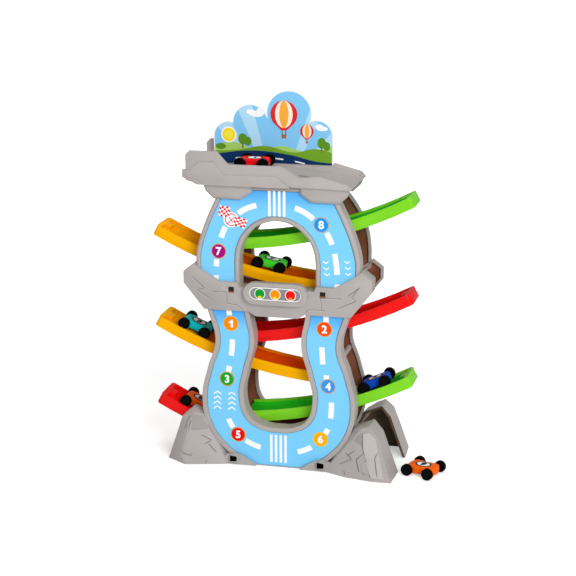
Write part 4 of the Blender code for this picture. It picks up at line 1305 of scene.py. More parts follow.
@dataclass
class Markings:
    """Every white marking of the two roads, and the pair of chequered flags."""

    upper_dashes: tuple = (
        ((-72.3, 249.8), (-73.0, 241.4)), ((-73.4, 230.8), (-73.6, 221.0)),
        ((-61.1, 289.0), (-64.2, 282.7), (-66.6, 276.0)),
        ((-45.6, 305.5), (-35.5, 311.9), (-24.1, 315.8)),
        ((21.3, 314.9), (32.6, 310.2), (42.7, 303.0)),
        ((58.2, 287.7), (61.7, 281.3), (64.4, 274.5)),
        ((67.6, 263.9), (69.5, 251.8), (70.6, 239.6)), ((70.7, 228.0), (70.8, 219.0)))
    lower_dashes: tuple = (
        ((-58.7, 191.0), (-58.1, 183.2)), ((-54.8, 154.0), (-55.3, 144.0), (-56.6, 134.0)),
        ((-58.9, 120.9), (-60.5, 113.0)), ((-60.9, 55.2), (-58.5, 49.8), (-55.4, 44.5)),
        ((-40.2, 29.5), (-31.2, 25.3), (-21.8, 22.4)), ((23.4, 20.5), (32.1, 23.6), (40.0, 27.9)),
        ((60.1, 52.0), (57.0, 45.8)), ((64.1, 85.2), (64.1, 75.5), (63.3, 65.5)),
        ((58.3, 118.2), (58.2, 113.0)), ((52.9, 151.8), (53.2, 141.5), (54.1, 131.2)),
        ((57.5, 191.0), (57.7, 182.4)))
    upper_crossing: Pair = (304.0, 338.0)
    lower_crossing: Pair = (5.2, 39.5)
    stripe_places: tuple = (-8.7, -2.9, 2.9, 8.7)
    stripe_width: float = 3.0
    # Half width, rise and stroke of the chevrons, then their places
    upper_chevron: tuple = (3.2, -2.2, 1.5)
    upper_chevrons: tuple = ((57.1, 252.4), (57.9, 245.2), (58.6, 238.4),
                             (82.0, 254.0), (82.8, 246.9), (83.4, 239.9))
    lower_chevron: tuple = (4.6, 3.2, 1.7)
    lower_chevrons: tuple = ((-74.1, 87.9), (-74.3, 81.7), (-74.4, 75.5), (-74.5, 69.4),
                             (-56.4, 87.9), (-56.6, 81.9), (-56.6, 75.7), (-56.8, 69.3))
    flag_ring: Pair = (-54.3, 297.8)
    # Radius and material slot of the ring's discs, from the film outwards
    flag_discs: tuple = ((9.2, 0), (7.4, 1), (6.3, 0))
    flag_poles: tuple = (((-60.6, 306.0), (-49.0, 290.6)), ((-50.0, 301.0), (-59.4, 292.0)))
    pole_width: float = 0.9
    # A corner of each flag, its run along the length and its run across the width
    flag_cloths: tuple = (((-67.4, 315.4), (12.8, -4.2), (-2.2, -12.4)),
                          ((-48.0, 303.8), (13.6, -6.6), (-4.6, -10.2)))
    flag_squares: int = 5
    flag_wave: float = 0.09

    def stripes(self, span: Pair) -> list[BMesh]:
        """Print the four bars of a crossing.

        Args:
            span: the heights of their lower and upper ends.

        Returns:
            The bars.
        """
        half = self.stripe_width / 2
        return [block((x - half, layer(1), span[0]), (x + half, INK_DEPTH, span[1]))
                for x in self.stripe_places]

    def squares(self, top: Pair, right: Pair, down: Pair) -> list[BMesh]:
        """Print a chequered flag as a slightly waving grid of squares.

        Args:
            top: x and z of the flag's first corner.
            right: the flag's run along its length.
            down: the flag's run across its width.

        Returns:
            The squares, column by column, so that white and red take turns.
        """
        made = []
        for cell in range(self.flag_squares ** 2):
            column, row = divmod(cell, self.flag_squares)
            spots = []
            for a, b in ((0, 0), (1, 0), (1, 1), (0, 1)):
                s, t = (column + a) / self.flag_squares, (row + b) / self.flag_squares
                sway = t + self.flag_wave * sin(2 * pi * s)
                spots.append((top[0] + right[0] * s + down[0] * sway,
                              top[1] + right[1] * s + down[1] * sway))
            made.append(plate(spots, layer(5), INK))
        return made

    def flags(self) -> None:
        """Build the two crossed flags over a ring."""
        bm = bmesh.new()
        for count, (radius, slot) in enumerate(self.flag_discs, 1):
            join(bm, disc(*self.flag_ring, radius, layer(count), INK, INK_SIDES), slot=slot)
        for ends in self.flag_poles:
            pole = dash(ends, self.pole_width)
            bmesh.ops.translate(pole, verts=pole.verts, vec=(0.0, -3 * INK, 0.0))
            join(bm, pole, slot=1)
        for cloth in self.flag_cloths:
            squares = self.squares(*cloth)
            join(bm, *squares[1::2], slot=1)
            join(bm, *squares[0::2], slot=0)
        publish(bm, "chequered_flags", WHITE_INK, RED_INK)

    def build(self) -> None:
        """Build the markings."""
        for name, dashes, crossing, look, places in (
                ("upper", self.upper_dashes, self.upper_crossing, self.upper_chevron,
                 self.upper_chevrons),
                ("lower", self.lower_dashes, self.lower_crossing, self.lower_chevron,
                 self.lower_chevrons)):
            marks = [dash(points) for points in dashes] + self.stripes(crossing)
            marks += [chevron(*place, *look) for place in places]
            publish(gathered(*marks), name + "_road_marks", WHITE_INK)
        self.flags()
        for badge in BADGES:
            badge.build()


# Belt with its traffic light

@dataclass
class Belt:
    """The rocky belt round the tower's waist, with the traffic light in its middle."""

    face: float = -38.0
    edge_round: float = 1.6
    back_round: float = 0.6
    edge_degrees: float = 40.0
    socket_x: float = 54.4
    socket_z: float = 215.5
    socket_half: float = 3.5
    socket_depth: float = 2.3
    socket_foot: float = 1.6
    cracks: tuple = (((-101.6, 229.2), (-86.6, 215.9), (-95.2, 212.7), (-75.6, 201.4)),
                     ((98.0, 227.3), (88.5, 214.8), (93.7, 210.8), (71.1, 200.0)),
                     ((98.0, 227.3), (83.2, 215.1)))
    crack_width: float = 0.95
    steps: tuple = (((-74.9, 212.3), (-59.7, 212.3), (-59.3, 198.9), (-46.0, 197.4),
                     (-40.6, 192.4)),
                    ((76.8, 212.4), (52.0, 211.8), (53.5, 198.8)),
                    ((34.5, 193.9), (38.2, 197.5), (57.6, 197.3)))
    # A painted highlight runs along each crack: its shift, its width and its height
    highlight_shift: Pair = (-0.5, -0.75)
    highlight_width: float = 0.6
    highlight_lift: float = 0.06
    floor_thickness: float = 0.3
    floor_margin: float = 0.1
    foot_margin: float = 0.2

    def socket_boxes(self, front: float, back: float,
                     margin: float = 0.0) -> list[tuple[tuple, tuple]]:
        """Return the corners of a box at each square socket.

        Args:
            front: the boxes' front.
            back: the boxes' back.
            margin: how far each side lies inside the socket's own.

        Returns:
            The low and the high corner of the left box and of the right box.
        """
        half = self.socket_half - margin
        return [((side * self.socket_x - half, front, self.socket_z - half),
                 (side * self.socket_x + half, back, self.socket_z + half)) for side in (-1, 1)]

    def front(self) -> None:
        """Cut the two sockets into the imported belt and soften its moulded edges."""
        bm = copy_of("belt_front")
        for low, high in self.socket_boxes(self.face - 1.0, self.face + self.socket_depth):
            bm = boolean(bm, block(low, high), "DIFFERENCE")
        bmesh.ops.dissolve_limit(bm, angle_limit=FLAT_SOLID, verts=bm.verts, edges=bm.edges)
        round_edges(bm, sharp_edges(bm, self.edge_degrees), self.edge_round)
        publish(bm, "belt_front_shell", STONE, nodes=["belt_front"], slot="stone_grey")

    def back(self) -> None:
        """Round the back belt and paint shade into its hollow."""
        bm = copy_of("belt_back")
        shade_hollow(bm, BACK_OPEN)
        round_edges(bm, sharp_edges(bm, self.edge_degrees), self.back_round)
        publish(bm, "belt_back_shell", STONE, HOLLOW_PAINTED_SHADE, nodes=["belt_back"], slot="stone_grey")

    def relief(self) -> None:
        """Lay lightning-like cracks and steps on the belt's face in painted groove shadow, each
        with a painted highlight beside it.
        """
        face = Surface("belt_front")
        # Strips in painted groove shadow, then strips in painted highlight beside them
        dark = [face.line(line, self.crack_width) for line in self.cracks]
        dark += [face.line(line, taper=1.0) for line in self.steps]
        across, up = self.highlight_shift
        light = [face.line([(x + across, z + up) for x, z in line], self.highlight_width, self.highlight_lift)
                 for line in self.cracks + self.steps]
        publish(join(gathered(*dark), *light, slot=1), "belt_cracks", STONE_PAINTED_SHADOW, STONE_PAINTED_HIGHLIGHT)

    def sockets(self) -> None:
        """Line the two square screw sockets with painted shade: a dark floor and a brown foot."""
        deep = self.face + self.socket_depth
        # Painted shadow on each socket's floor, and the hollows' painted shade at its foot
        floors = [block(*box) for box in self.socket_boxes(deep - self.floor_thickness, deep,
                                                           self.floor_margin)]
        feet = [block(low, (high[0], high[1], low[2] + self.socket_foot))
                for low, high in self.socket_boxes(deep - self.socket_foot, deep,
                                                   self.foot_margin)]
        publish(join(gathered(*floors), *feet, slot=1), "belt_sockets", SOCKET_PAINTED_SHADOW, HOLLOW_PAINTED_SHADE)

    def build(self) -> None:
        """Build the belt."""
        self.front()
        self.back()
        self.relief()
        self.sockets()


@dataclass
class TrafficLight:
    """The printed light panel in the belt's recess, with three round lamps.

    Every depth counts from the panel's face, towards the front.
    """

    z: float = 214.5
    face: float = -43.2
    half_length: float = 31.0
    half_height: float = 7.6
    panel_depth: float = 0.5
    border: tuple = (29.8, 6.5, 0.6, 0.12)
    # Each lamp's ink and the ink of the spot of light in it
    lamps: tuple = (("#0b9a30", "#f4e400"), ("#ff9600", "#fff000"), ("#f20d10", "#ff9a1e"))
    lamp_spacing: float = 18.2
    # Radius, depth and thickness of a lamp's white ring and of its dome
    ring: tuple = (6.5, 0.75, 0.2)
    dome: tuple = (5.6, 1.2, 0.6)
    dome_round: float = 0.35
    dome_slack: float = 0.1
    glint_depth: float = 1.28
    glint_thickness: float = 0.1
    # Half width and height below the lamp's middle, at the spot's foot and at its top
    glint: tuple = ((2.1, 4.9), (1.5, 2.4))

    def build(self) -> None:
        """Build the light."""
        length, height, depth, thickness = self.border
        bm = gathered(stadium(self.z, self.half_length, self.half_height,
                              self.face - self.panel_depth, self.panel_depth))
        join(bm, stadium(self.z, length, height, self.face - depth, thickness), slot=1)
        finishes: list[Finish] = [WHITE_INK, LAMP_GREY]
        (foot, foot_drop), (top, top_drop) = self.glint
        for index, (colour, spot) in enumerate(self.lamps):
            x = (index - 1) * self.lamp_spacing
            ring, dome = (disc(x, self.z, radius, self.face - depth, thickness)
                          for radius, depth, thickness in (self.ring, self.dome))
            front = min(v.co.y for v in dome.verts) + self.dome_slack
            round_edges(dome, [e for e in dome.edges if all(v.co.y < front for v in e.verts)],
                        self.dome_round)
            glint = plate([(x - foot, self.z - foot_drop), (x + foot, self.z - foot_drop),
                           (x + top, self.z - top_drop), (x - top, self.z - top_drop)],
                          self.face - self.glint_depth, self.glint_thickness)
            join(bm, ring)
            join(bm, dome, slot=2 + 2 * index)
            join(bm, glint, slot=3 + 2 * index)
            finishes += [PrintedFilm(f"lamp_{index}_ink", colour),
                         PrintedFilm(f"lamp_{index}_spot", spot)]
        publish(bm, "traffic_light", *finishes, nodes=["traffic_light_plate"], slot="light_dark")


# Launch deck, scene plate and rocks

@dataclass
class Deck:
    """The launch deck on top."""

    edge_round: float = 0.8
    edge_degrees: float = 35.0
    bracket_face: float = -40.3
    bracket_slack: float = 0.2
    bracket_top: float = 338.0
    bracket_chamfer: float = 3.2
    slit: tuple = ((22.0, -17.2, 349.9), (35.5, -16.4, 348.3), (33.5, -20.5, 348.5),
                   (27.5, -22.8, 349.2))
    slit_depth: float = 0.6

    def build(self) -> None:
        """Chamfer the deck's brackets, soften its edges and mark the slit at its rail's end with
        painted shadow.
        """
        bm = copy_of("launch_deck")
        brackets = [e for e in bm.edges
                    if all(abs(v.co.y - self.bracket_face) < self.bracket_slack for v in e.verts)
                    and sum(v.co.z for v in e.verts) / 2 < self.bracket_top]
        round_edges(bm, brackets, self.bracket_chamfer, 1)
        round_edges(bm, sharp_edges(bm, self.edge_degrees), self.edge_round)
        publish(bm, "launch_deck_shell", STONE, nodes=["launch_deck"], slot="stone_grey")
        # The slit: a thin plate of painted shadow
        slit = bmesh.new()
        slit.faces.new([slit.verts.new(corner) for corner in self.slit])
        bmesh.ops.translate(slit, verts=swept(slit), vec=(0.0, 0.0, -self.slit_depth))
        publish(slit, "launch_deck_slit", STONE_PAINTED_SHADOW)


Motif = tuple[str, int, list[BMesh]]


@dataclass
class ScenePlate:
    """The printed backdrop that stands in the deck's slot, with a plain countryside scene.

    Each motif has an ink's name and the level at which it is printed over the others.
    """

    front: float = 30.0
    back: float = 32.0
    foot: float = 345.5
    left: float = -92.5
    right: float = 51.5
    bumps: tuple = ((-74.5, 383.5, 18.0), (-47.5, 400.2, 22.0), (-1.0, 412.2, 27.42),
                    (32.5, 387.0, 19.0))
    bump_steps: int = 24
    margin: float = 1.3
    layer: float = 0.06
    layer_share: float = 0.12
    print_gap: float = 0.05
    board_reach: float = 0.3
    stamp_reach: float = 2.0
    stamp_depth: float = 3.0
    smooth_degrees: float = 30.0
    balloons: tuple = ((-7.0, 411.5, 16.0), (20.5, 392.5, 8.0))

    def crossing(self, first: Sequence[float], second: Sequence[float], margin: float) -> Vector:
        """Find where two neighbouring bumps meet in the plate's top edge.

        Args:
            first: the left bump's x, z and radius.
            second: the right bump's x, z and radius.
            margin: how far both are drawn in.

        Returns:
            The upper one of the points that both circles share.
        """
        start, run = Vector(first[:2]), Vector(second[:2]) - Vector(first[:2])
        near, far = first[2] - margin, second[2] - margin
        along = (near ** 2 - far ** 2 + run.length_squared) / (2 * run.length)
        rise = sqrt(max(near ** 2 - along ** 2, 0.0))
        return (start + run.normalized() * along
                + Vector((-run.y, run.x)).normalized() * rise)

    def cloud(self, margin: float, front: float, back: float) -> BMesh:
        """Make the cloud-topped plate, drawn in by a margin.

        Args:
            margin: how far its edge lies inside the plate's own edge.
            front: the depth of its face.
            back: the depth of its back.

        Returns:
            The closed plate.
        """
        joints = [Vector((self.left + margin, self.bumps[0][1]))]
        joints += [self.crossing(a, b, margin) for a, b in zip(self.bumps, self.bumps[1:])]
        joints += [Vector((self.right - margin, self.bumps[-1][1]))]
        edge = [(self.left + margin, self.foot)]
        for (x, z, radius), first, last in zip(self.bumps, joints, joints[1:]):
            begin = atan2(first.y - z, first.x - x) % (2 * pi)
            turn = begin - atan2(last.y - z, last.x - x)
            for step in range(self.bump_steps):
                angle = begin - turn * step / self.bump_steps
                edge.append((x + (radius - margin) * cos(angle),
                             z + (radius - margin) * sin(angle)))
        edge += [tuple(joints[-1]), (self.right - margin, self.foot)]
        return plate(edge, front, back - front)

    def printed(self, shape: BMesh, level: float) -> BMesh:
        """Trim a deep stamp to the plate's white border, at a level of the print."""
        face = self.front - self.print_gap - level * self.layer
        return boolean(shape, self.cloud(self.margin, face, face + self.layer), "INTERSECT")

    def ovals(self, *sizes: Sequence[float]) -> list[BMesh]:
        """Make oval stamps, deep enough to be trimmed at any level.

        Args:
            sizes: the middle's x and z, half the width and half the height of each.

        Returns:
            The stamps.
        """
        made = []
        for x, z, half_width, half_height in sizes:
            bm = disc(0.0, 0.0, 1.0, self.front - self.stamp_reach, self.stamp_depth, INK_SIDES)
            bm.transform(Matrix.Translation((x, 0.0, z))
                         @ Matrix.Diagonal((half_width, 1.0, half_height, 1.0)))
            made.append(bm)
        return made

    def stamp(self, knots: Sequence[Knot]) -> BMesh:
        """Make a free stamp, deep enough to be trimmed at any level."""
        return thicken(flat_face(knots, self.front - self.stamp_reach), self.stamp_depth)

    def stamps(self, *outlines: Sequence[Pair]) -> list[BMesh]:
        """Make stamps with straight edges."""
        return [self.stamp(corners(outline)) for outline in outlines]

    def sky(self) -> list[Motif]:
        """Draw the sky, its beams, the clouds and the sun.

        Returns:
            The motifs, from the board outwards.
        """
        board = self.cloud(self.margin, self.front - self.board_reach,
                           self.front + self.board_reach)
        beams = self.stamps([(-92, 400), (-60, 362), (-52, 362), (-80, 420)],
                            [(-66, 424), (-40, 362), (-30, 362), (-48, 430)],
                            [(26, 424), (4, 362), (14, 362), (40, 418)],
                            [(60, 404), (24, 362), (36, 362), (66, 392)])
        white = self.ovals((-40, 411, 8.5, 3.6), (-34, 414.5, 6, 4), (-47, 413, 5.4, 3),
                           (38.5, 396, 6.8, 2.8), (35, 398, 4.6, 3.2), (-74, 385.5, 9.4, 9.4))
        return [("sky_light", 0, [board]), ("sky_beam", 1, beams), ("cloud_white", 2, white),
                ("sun_yellow", 3, self.ovals((-74, 385.5, 7.9, 7.9))),
                ("sun_core", 4, self.ovals((-74, 385.5, 5.0, 5.0)))]

    def land(self) -> list[Motif]:
        """Draw the hills, the trees, the road and its dashes.

        Returns:
            The motifs, from the board outwards.
        """
        far = self.stamp([Knot(-95, 352, True), Knot(-95, 371, True), Knot(-70, 377),
                          Knot(-40, 369), Knot(-10, 374), Knot(22, 368), Knot(55, 377, True),
                          Knot(55, 352, True)])
        near = self.stamp([Knot(-95, 350, True), Knot(-95, 366, True), Knot(-62, 368),
                           Knot(-30, 373.5), Knot(5, 367), Knot(30, 372), Knot(55, 367, True),
                           Knot(55, 350, True)])
        road = self.stamp([Knot(-95, 340, True), Knot(-95, 361.5, True), Knot(-48, 367.5),
                           Knot(0, 364), Knot(30, 357.5), Knot(55, 355.5, True),
                           Knot(55, 340, True)])
        trunks = self.stamps([(-57.8, 370), (-56.2, 370), (-56.2, 379), (-57.8, 379)],
                             [(37.3, 368), (38.7, 368), (38.7, 376), (37.3, 376)])
        crowns = self.ovals((-57, 381, 5.6, 6.4), (-51, 378.5, 4.6, 5.2), (38, 379, 5.0, 6.4),
                            (44, 375.5, 4.2, 5.2), (-84, 371.5, 6.4, 3.6))
        dashes = self.stamps([(-66, 357.2), (-54, 358.4), (-54, 360.0), (-66, 358.8)],
                             [(-44, 359.0), (-32, 359.2), (-32, 360.8), (-44, 360.6)],
                             [(-20, 358.6), (-8, 357.6), (-8, 359.2), (-20, 360.2)],
                             [(6, 355.8), (18, 353.6), (18, 355.0), (6, 357.4)])
        return [("hill_far", 2, [far]), ("trunk_brown", 3, trunks), ("crown_green", 4, crowns),
                ("hill_near", 3, [near]), ("road_navy", 5, [road]), ("road_dash", 6, dashes)]

    def balloon(self, x: float, z: float, size: float) -> list[Motif]:
        """Return a striped hot-air balloon: envelope, two stripes, ropes and basket.

        Args:
            x: its middle from side to side.
            z: its middle from top to bottom.
            size: the radius of its envelope.

        Returns:
            Its motifs.
        """
        neck = 1.18
        cone = ((-0.80, 0.62), (-0.2, neck), (0.2, neck), (0.80, 0.62))
        ropes = [((s * 0.16, neck), (s * 0.14, neck + 0.34), (s * 0.10, neck + 0.34),
                  (s * 0.11, neck)) for s in (-1, 1)]
        basket = ((-0.2, neck + 0.3), (-0.15, neck + 0.58), (0.15, neck + 0.58),
                  (0.2, neck + 0.3))
        cone, left, right, basket = self.stamps(*[
            [(x + across * size, z - down * size) for across, down in outline]
            for outline in (cone, *ropes, basket)])
        red, cream, orange = self.ovals((x, z, size, size), (x, z, 0.66 * size, 0.995 * size),
                                        (x, z, 0.34 * size, 0.99 * size))
        return [("balloon_rope", 7, [left, right]), ("balloon_red", 8, [red, cone]),
                ("balloon_cream", 9, [cream]), ("balloon_orange", 10, [orange]),
                ("basket_brown", 9, [basket])]

    def build(self) -> None:
        """Build the plate and print it."""
        publish(self.cloud(0.0, self.front, self.back), "scene_plate_board",
                PrintedFilm("plate_white_ink", "#f6f7f8"), nodes=["scene_plate"],
                slot="plate_print", smooth_degrees=self.smooth_degrees)
        inks = {"sky_light": "#84cdf9", "sky_beam": "#b5e2fd", "cloud_white": "#ffffff",
                "sun_yellow": "#ffe31a", "sun_core": "#fff04d", "hill_far": "#a9d76a",
                "trunk_brown": "#8a5a2e", "crown_green": "#5f9422", "hill_near": "#76a82b",
                "road_navy": "#063063", "road_dash": "#ffffff", "balloon_rope": "#7a4a22",
                "balloon_red": "#e3262b", "balloon_cream": "#fff1dc",
                "balloon_orange": "#fbb040", "basket_brown": "#b06a2c"}
        order = list(inks)
        motifs = self.sky() + self.land()
        for place in self.balloons:
            motifs += self.balloon(*place)
        bm = bmesh.new()
        for name, level, shapes in motifs:
            for index, shape in enumerate(shapes):
                join(bm, self.printed(shape, level + index * self.layer_share),
                     slot=order.index(name))
        publish(bm, "scene_plate_print", *[PrintedFilm(name, inks[name]) for name in order])


@dataclass
class Rocks:
    """The four rocks at the tower's foot, with relief on the two front ones.

    Outlines and lines are x and z in the front view. A slab's two numbers are how far it stands
    out at its left and at its right edge.
    """

    edge_round: float = 0.9
    edge_degrees: float = 14.0
    smooth_degrees: float = 18.0
    open_depth: float = 28.5
    front_limit: float = -56.15
    crack_width: float = 1.1
    right_rises: tuple = ((0.9, 0.7), (1.6, 1.4), (2.2, 0.4), (0.3, 0.3))
    left_rises: tuple = ((0.5, 0.7), (0.5, 0.8), (0.3, 0.3))
    right_crown: tuple = ((92.2, 53.2), (101.6, 57.6), (103.4, 39.5), (91.8, 46.0))
    right_step: tuple = ((108.6, 34.0), (98.2, 23.3), (101.9, 9.0), (114.5, 8.0), (110.9, 19.4),
                         (107.4, 31.6))
    right_block: tuple = ((109.0, 24.0), (103.6, 20.0), (104.8, 12.0), (107.5, 8.3),
                          (114.2, 8.1), (111.0, 19.4))
    buttress: tuple = ((104.6, 54.5), (105.6, 38.5), (110.7, 19.4), (115.8, 5.0), (131.0, 4.0),
                       (127.4, 20.0), (124.6, 34.0), (120.2, 50.0), (112.0, 57.5))
    buttress_back: float = 0.15
    right_cracks: tuple = (((96.1, 33.8), (87.1, 26.9), (91.3, 22.7), (76.1, 13.4)),
                           ((83.0, 29.0), (87.6, 24.6)), ((84.1, 2.6), (82.0, 7.4)))
    # Painted shadow lines along the right rock's slabs, and cracks on top of its buttress in the
    # same painted shadow
    edge_lines: tuple = (
        ((103.9, 55.0), (104.9, 38.5), (107.0, 31.8), (97.4, 23.4), (101.0, 9.0)),
        ((108.3, 24.2), (102.9, 20.0), (104.0, 12.0), (107.5, 7.4)),
        ((110.1, 19.4), (115.2, 5.0)))
    raised_lines: tuple = (
        ((105.6, 53.2), (109.7, 53.4), (112.8, 48.0), (113.4, 40.0), (108.8, 33.6)),
        ((123.6, 36.1), (120.0, 28.4), (121.6, 17.5), (123.4, 6.0)))
    edge_width: float = 1.3
    edge_lift: float = 0.25
    edge_taper: float = 0.8
    raised_width: float = 1.0
    raise_by: float = 1.2
    left_crown: tuple = ((-104.4, 57.6), (-91.6, 56.6), (-85.2, 41.6), (-104.8, 40.6))
    left_strip: tuple = ((-109.0, 52.6), (-106.2, 57.0), (-107.6, 38.5), (-112.6, 41.6))
    left_step: tuple = ((-113.6, 14.2), (-110.9, 26.4), (-107.9, 26.8), (-102.8, 21.0),
                        (-103.9, 11.4))
    left_cracks: tuple = (
        ((-93.5, 35.5), (-80.7, 28.7), (-89.4, 23.9)), ((-84.5, 25.0), (-74.3, 14.0)),
        ((-85.3, 5.1), (-87.0, 1.6)), ((-113.2, 41.4), (-109.6, 53.4), (-106.6, 57.4)),
        ((-108.2, 37.8), (-105.6, 52.0)),
        ((-114.4, 17.3), (-114.2, 13.6), (-103.7, 10.7), (-102.4, 13.4)))
    socket_x: float = 53.0
    socket_z: float = 8.5
    socket_half: float = 3.6
    socket_rise: float = 2.9
    socket_face: float = -39.5
    socket_wall: float = 1.5
    collar_front: float = 2.6
    collar_back: float = 1.5
    collar_round: float = 1.3
    collar_edge: float = 0.35
    collar_degrees: float = 50.0
    hole_reach: float = 4.0
    socket_gap: float = 0.1
    floor_thickness: float = 0.5

    def shells(self) -> None:
        """Soften the rocks' facets and paint shade inside the hollow ones."""
        for place in ("front_left", "front_right", "back_left", "back_right"):
            node = "rock_" + place
            bm = copy_of(node)
            if place.startswith("back"):
                shade_hollow(bm, self.open_depth)
            round_edges(bm, sharp_edges(bm, self.edge_degrees), self.edge_round)
            publish(bm, node + "_shell", STONE, ROCK_HOLLOW_PAINTED_SHADE, nodes=[node], slot="stone_grey",
                    smooth_degrees=self.smooth_degrees)

    def right_relief(self) -> None:
        """Raise the right rock's slabs, its buttress in painted light and its crown in painted
        shade, and lay its cracks in painted shadow.
        """
        face = Surface("rock_front_right")
        step, upper, outer, crown = self.right_rises
        bm = gathered(face.slab(self.right_step, step, self.front_limit),
                      face.slab(self.right_block, upper, self.front_limit))
        # The buttress in painted light, the crown in painted shade
        join(bm, face.slab(self.buttress, outer, self.front_limit + self.buttress_back), slot=1)
        join(bm, face.slab(self.right_crown, crown, self.front_limit), slot=2)
        publish(bm, "rock_front_right_relief", STONE, STONE_FACET_PAINTED_LIGHT, STONE_FACET_PAINTED_SHADE,
                smooth_degrees=self.smooth_degrees)
        cuts = gathered(*[face.line(line, self.crack_width) for line in self.right_cracks],
                        *[face.line(line, self.edge_width, self.edge_lift,
                                    taper=self.edge_taper) for line in self.edge_lines])
        for line in self.raised_lines:
            strip = face.line(line, self.raised_width)
            for vertex in strip.verts:
                vertex.co.y = max(vertex.co.y - self.raise_by, self.front_limit)
            join(cuts, strip)
        publish(cuts, "rock_front_right_cracks", STONE_PAINTED_SHADOW)

    def left_relief(self) -> None:
        """Raise the left rock's slabs, its crown in painted shade, and lay its cracks in painted
        shadow.
        """
        face = Surface("rock_front_left")
        strip, step, crown = self.left_rises
        bm = gathered(face.slab(self.left_strip, strip, self.front_limit),
                      face.slab(self.left_step, step, self.front_limit))
        # The crown in painted shade
        join(bm, face.slab(self.left_crown, crown, self.front_limit), slot=1)
        publish(bm, "rock_front_left_relief", STONE, STONE_FACET_PAINTED_SHADE,
                smooth_degrees=self.smooth_degrees)
        cuts = gathered(*[face.line(line, self.crack_width) for line in self.left_cracks])
        publish(cuts, "rock_front_left_cracks", STONE_PAINTED_SHADOW)

    def sockets(self) -> None:
        """Frame the square sockets in the lips' bosses and paint shadow at their floors."""
        inner, rise, z, face = self.socket_half, self.socket_rise, self.socket_z, self.socket_face
        outer, top = inner + self.socket_wall, rise + self.socket_wall
        bm = bmesh.new()
        for x in (-self.socket_x, self.socket_x):
            hole = block((x - inner, face - self.hole_reach, z - rise),
                         (x + inner, face - self.socket_gap, z + rise))
            collar = boolean(block((x - outer, face - self.collar_front, z - top),
                                   (x + outer, face + self.collar_back, z + top)),
                             hole, "DIFFERENCE")
            upright = [e for e in collar.edges
                       if abs(e.verts[0].co.y - e.verts[1].co.y) > self.collar_back]
            round_edges(collar, upright, self.collar_round, 3)
            round_edges(collar, sharp_edges(collar, self.collar_degrees), self.collar_edge)
            join(bm, collar)
            # A floor in painted shadow
            join(bm, block((x - inner + self.socket_gap, face - self.floor_thickness,
                            z - rise + self.socket_gap),
                           (x + inner - self.socket_gap, face, z + rise - self.socket_gap)),
                 slot=1)
        publish(bm, "rock_sockets", STONE, SOCKET_PAINTED_SHADOW)

    def build(self) -> None:
        """Build the rocks."""
        self.shells()
        self.right_relief()
        self.left_relief()
        self.sockets()


@dataclass
class Screws:
    """The seven screws that hold the back panels."""

    count: int = 7
    smooth_degrees: float = 40.0

    def build(self) -> None:
        """Give each packed screw its plated finish."""
        for index in range(1, self.count + 1):
            node = f"assembly_screw_{index}"
            publish(copy_of(node), node + "_plated", SCREW_STEEL, nodes=[node],
                    slot="screw_steel", smooth_degrees=self.smooth_degrees)


# Cars

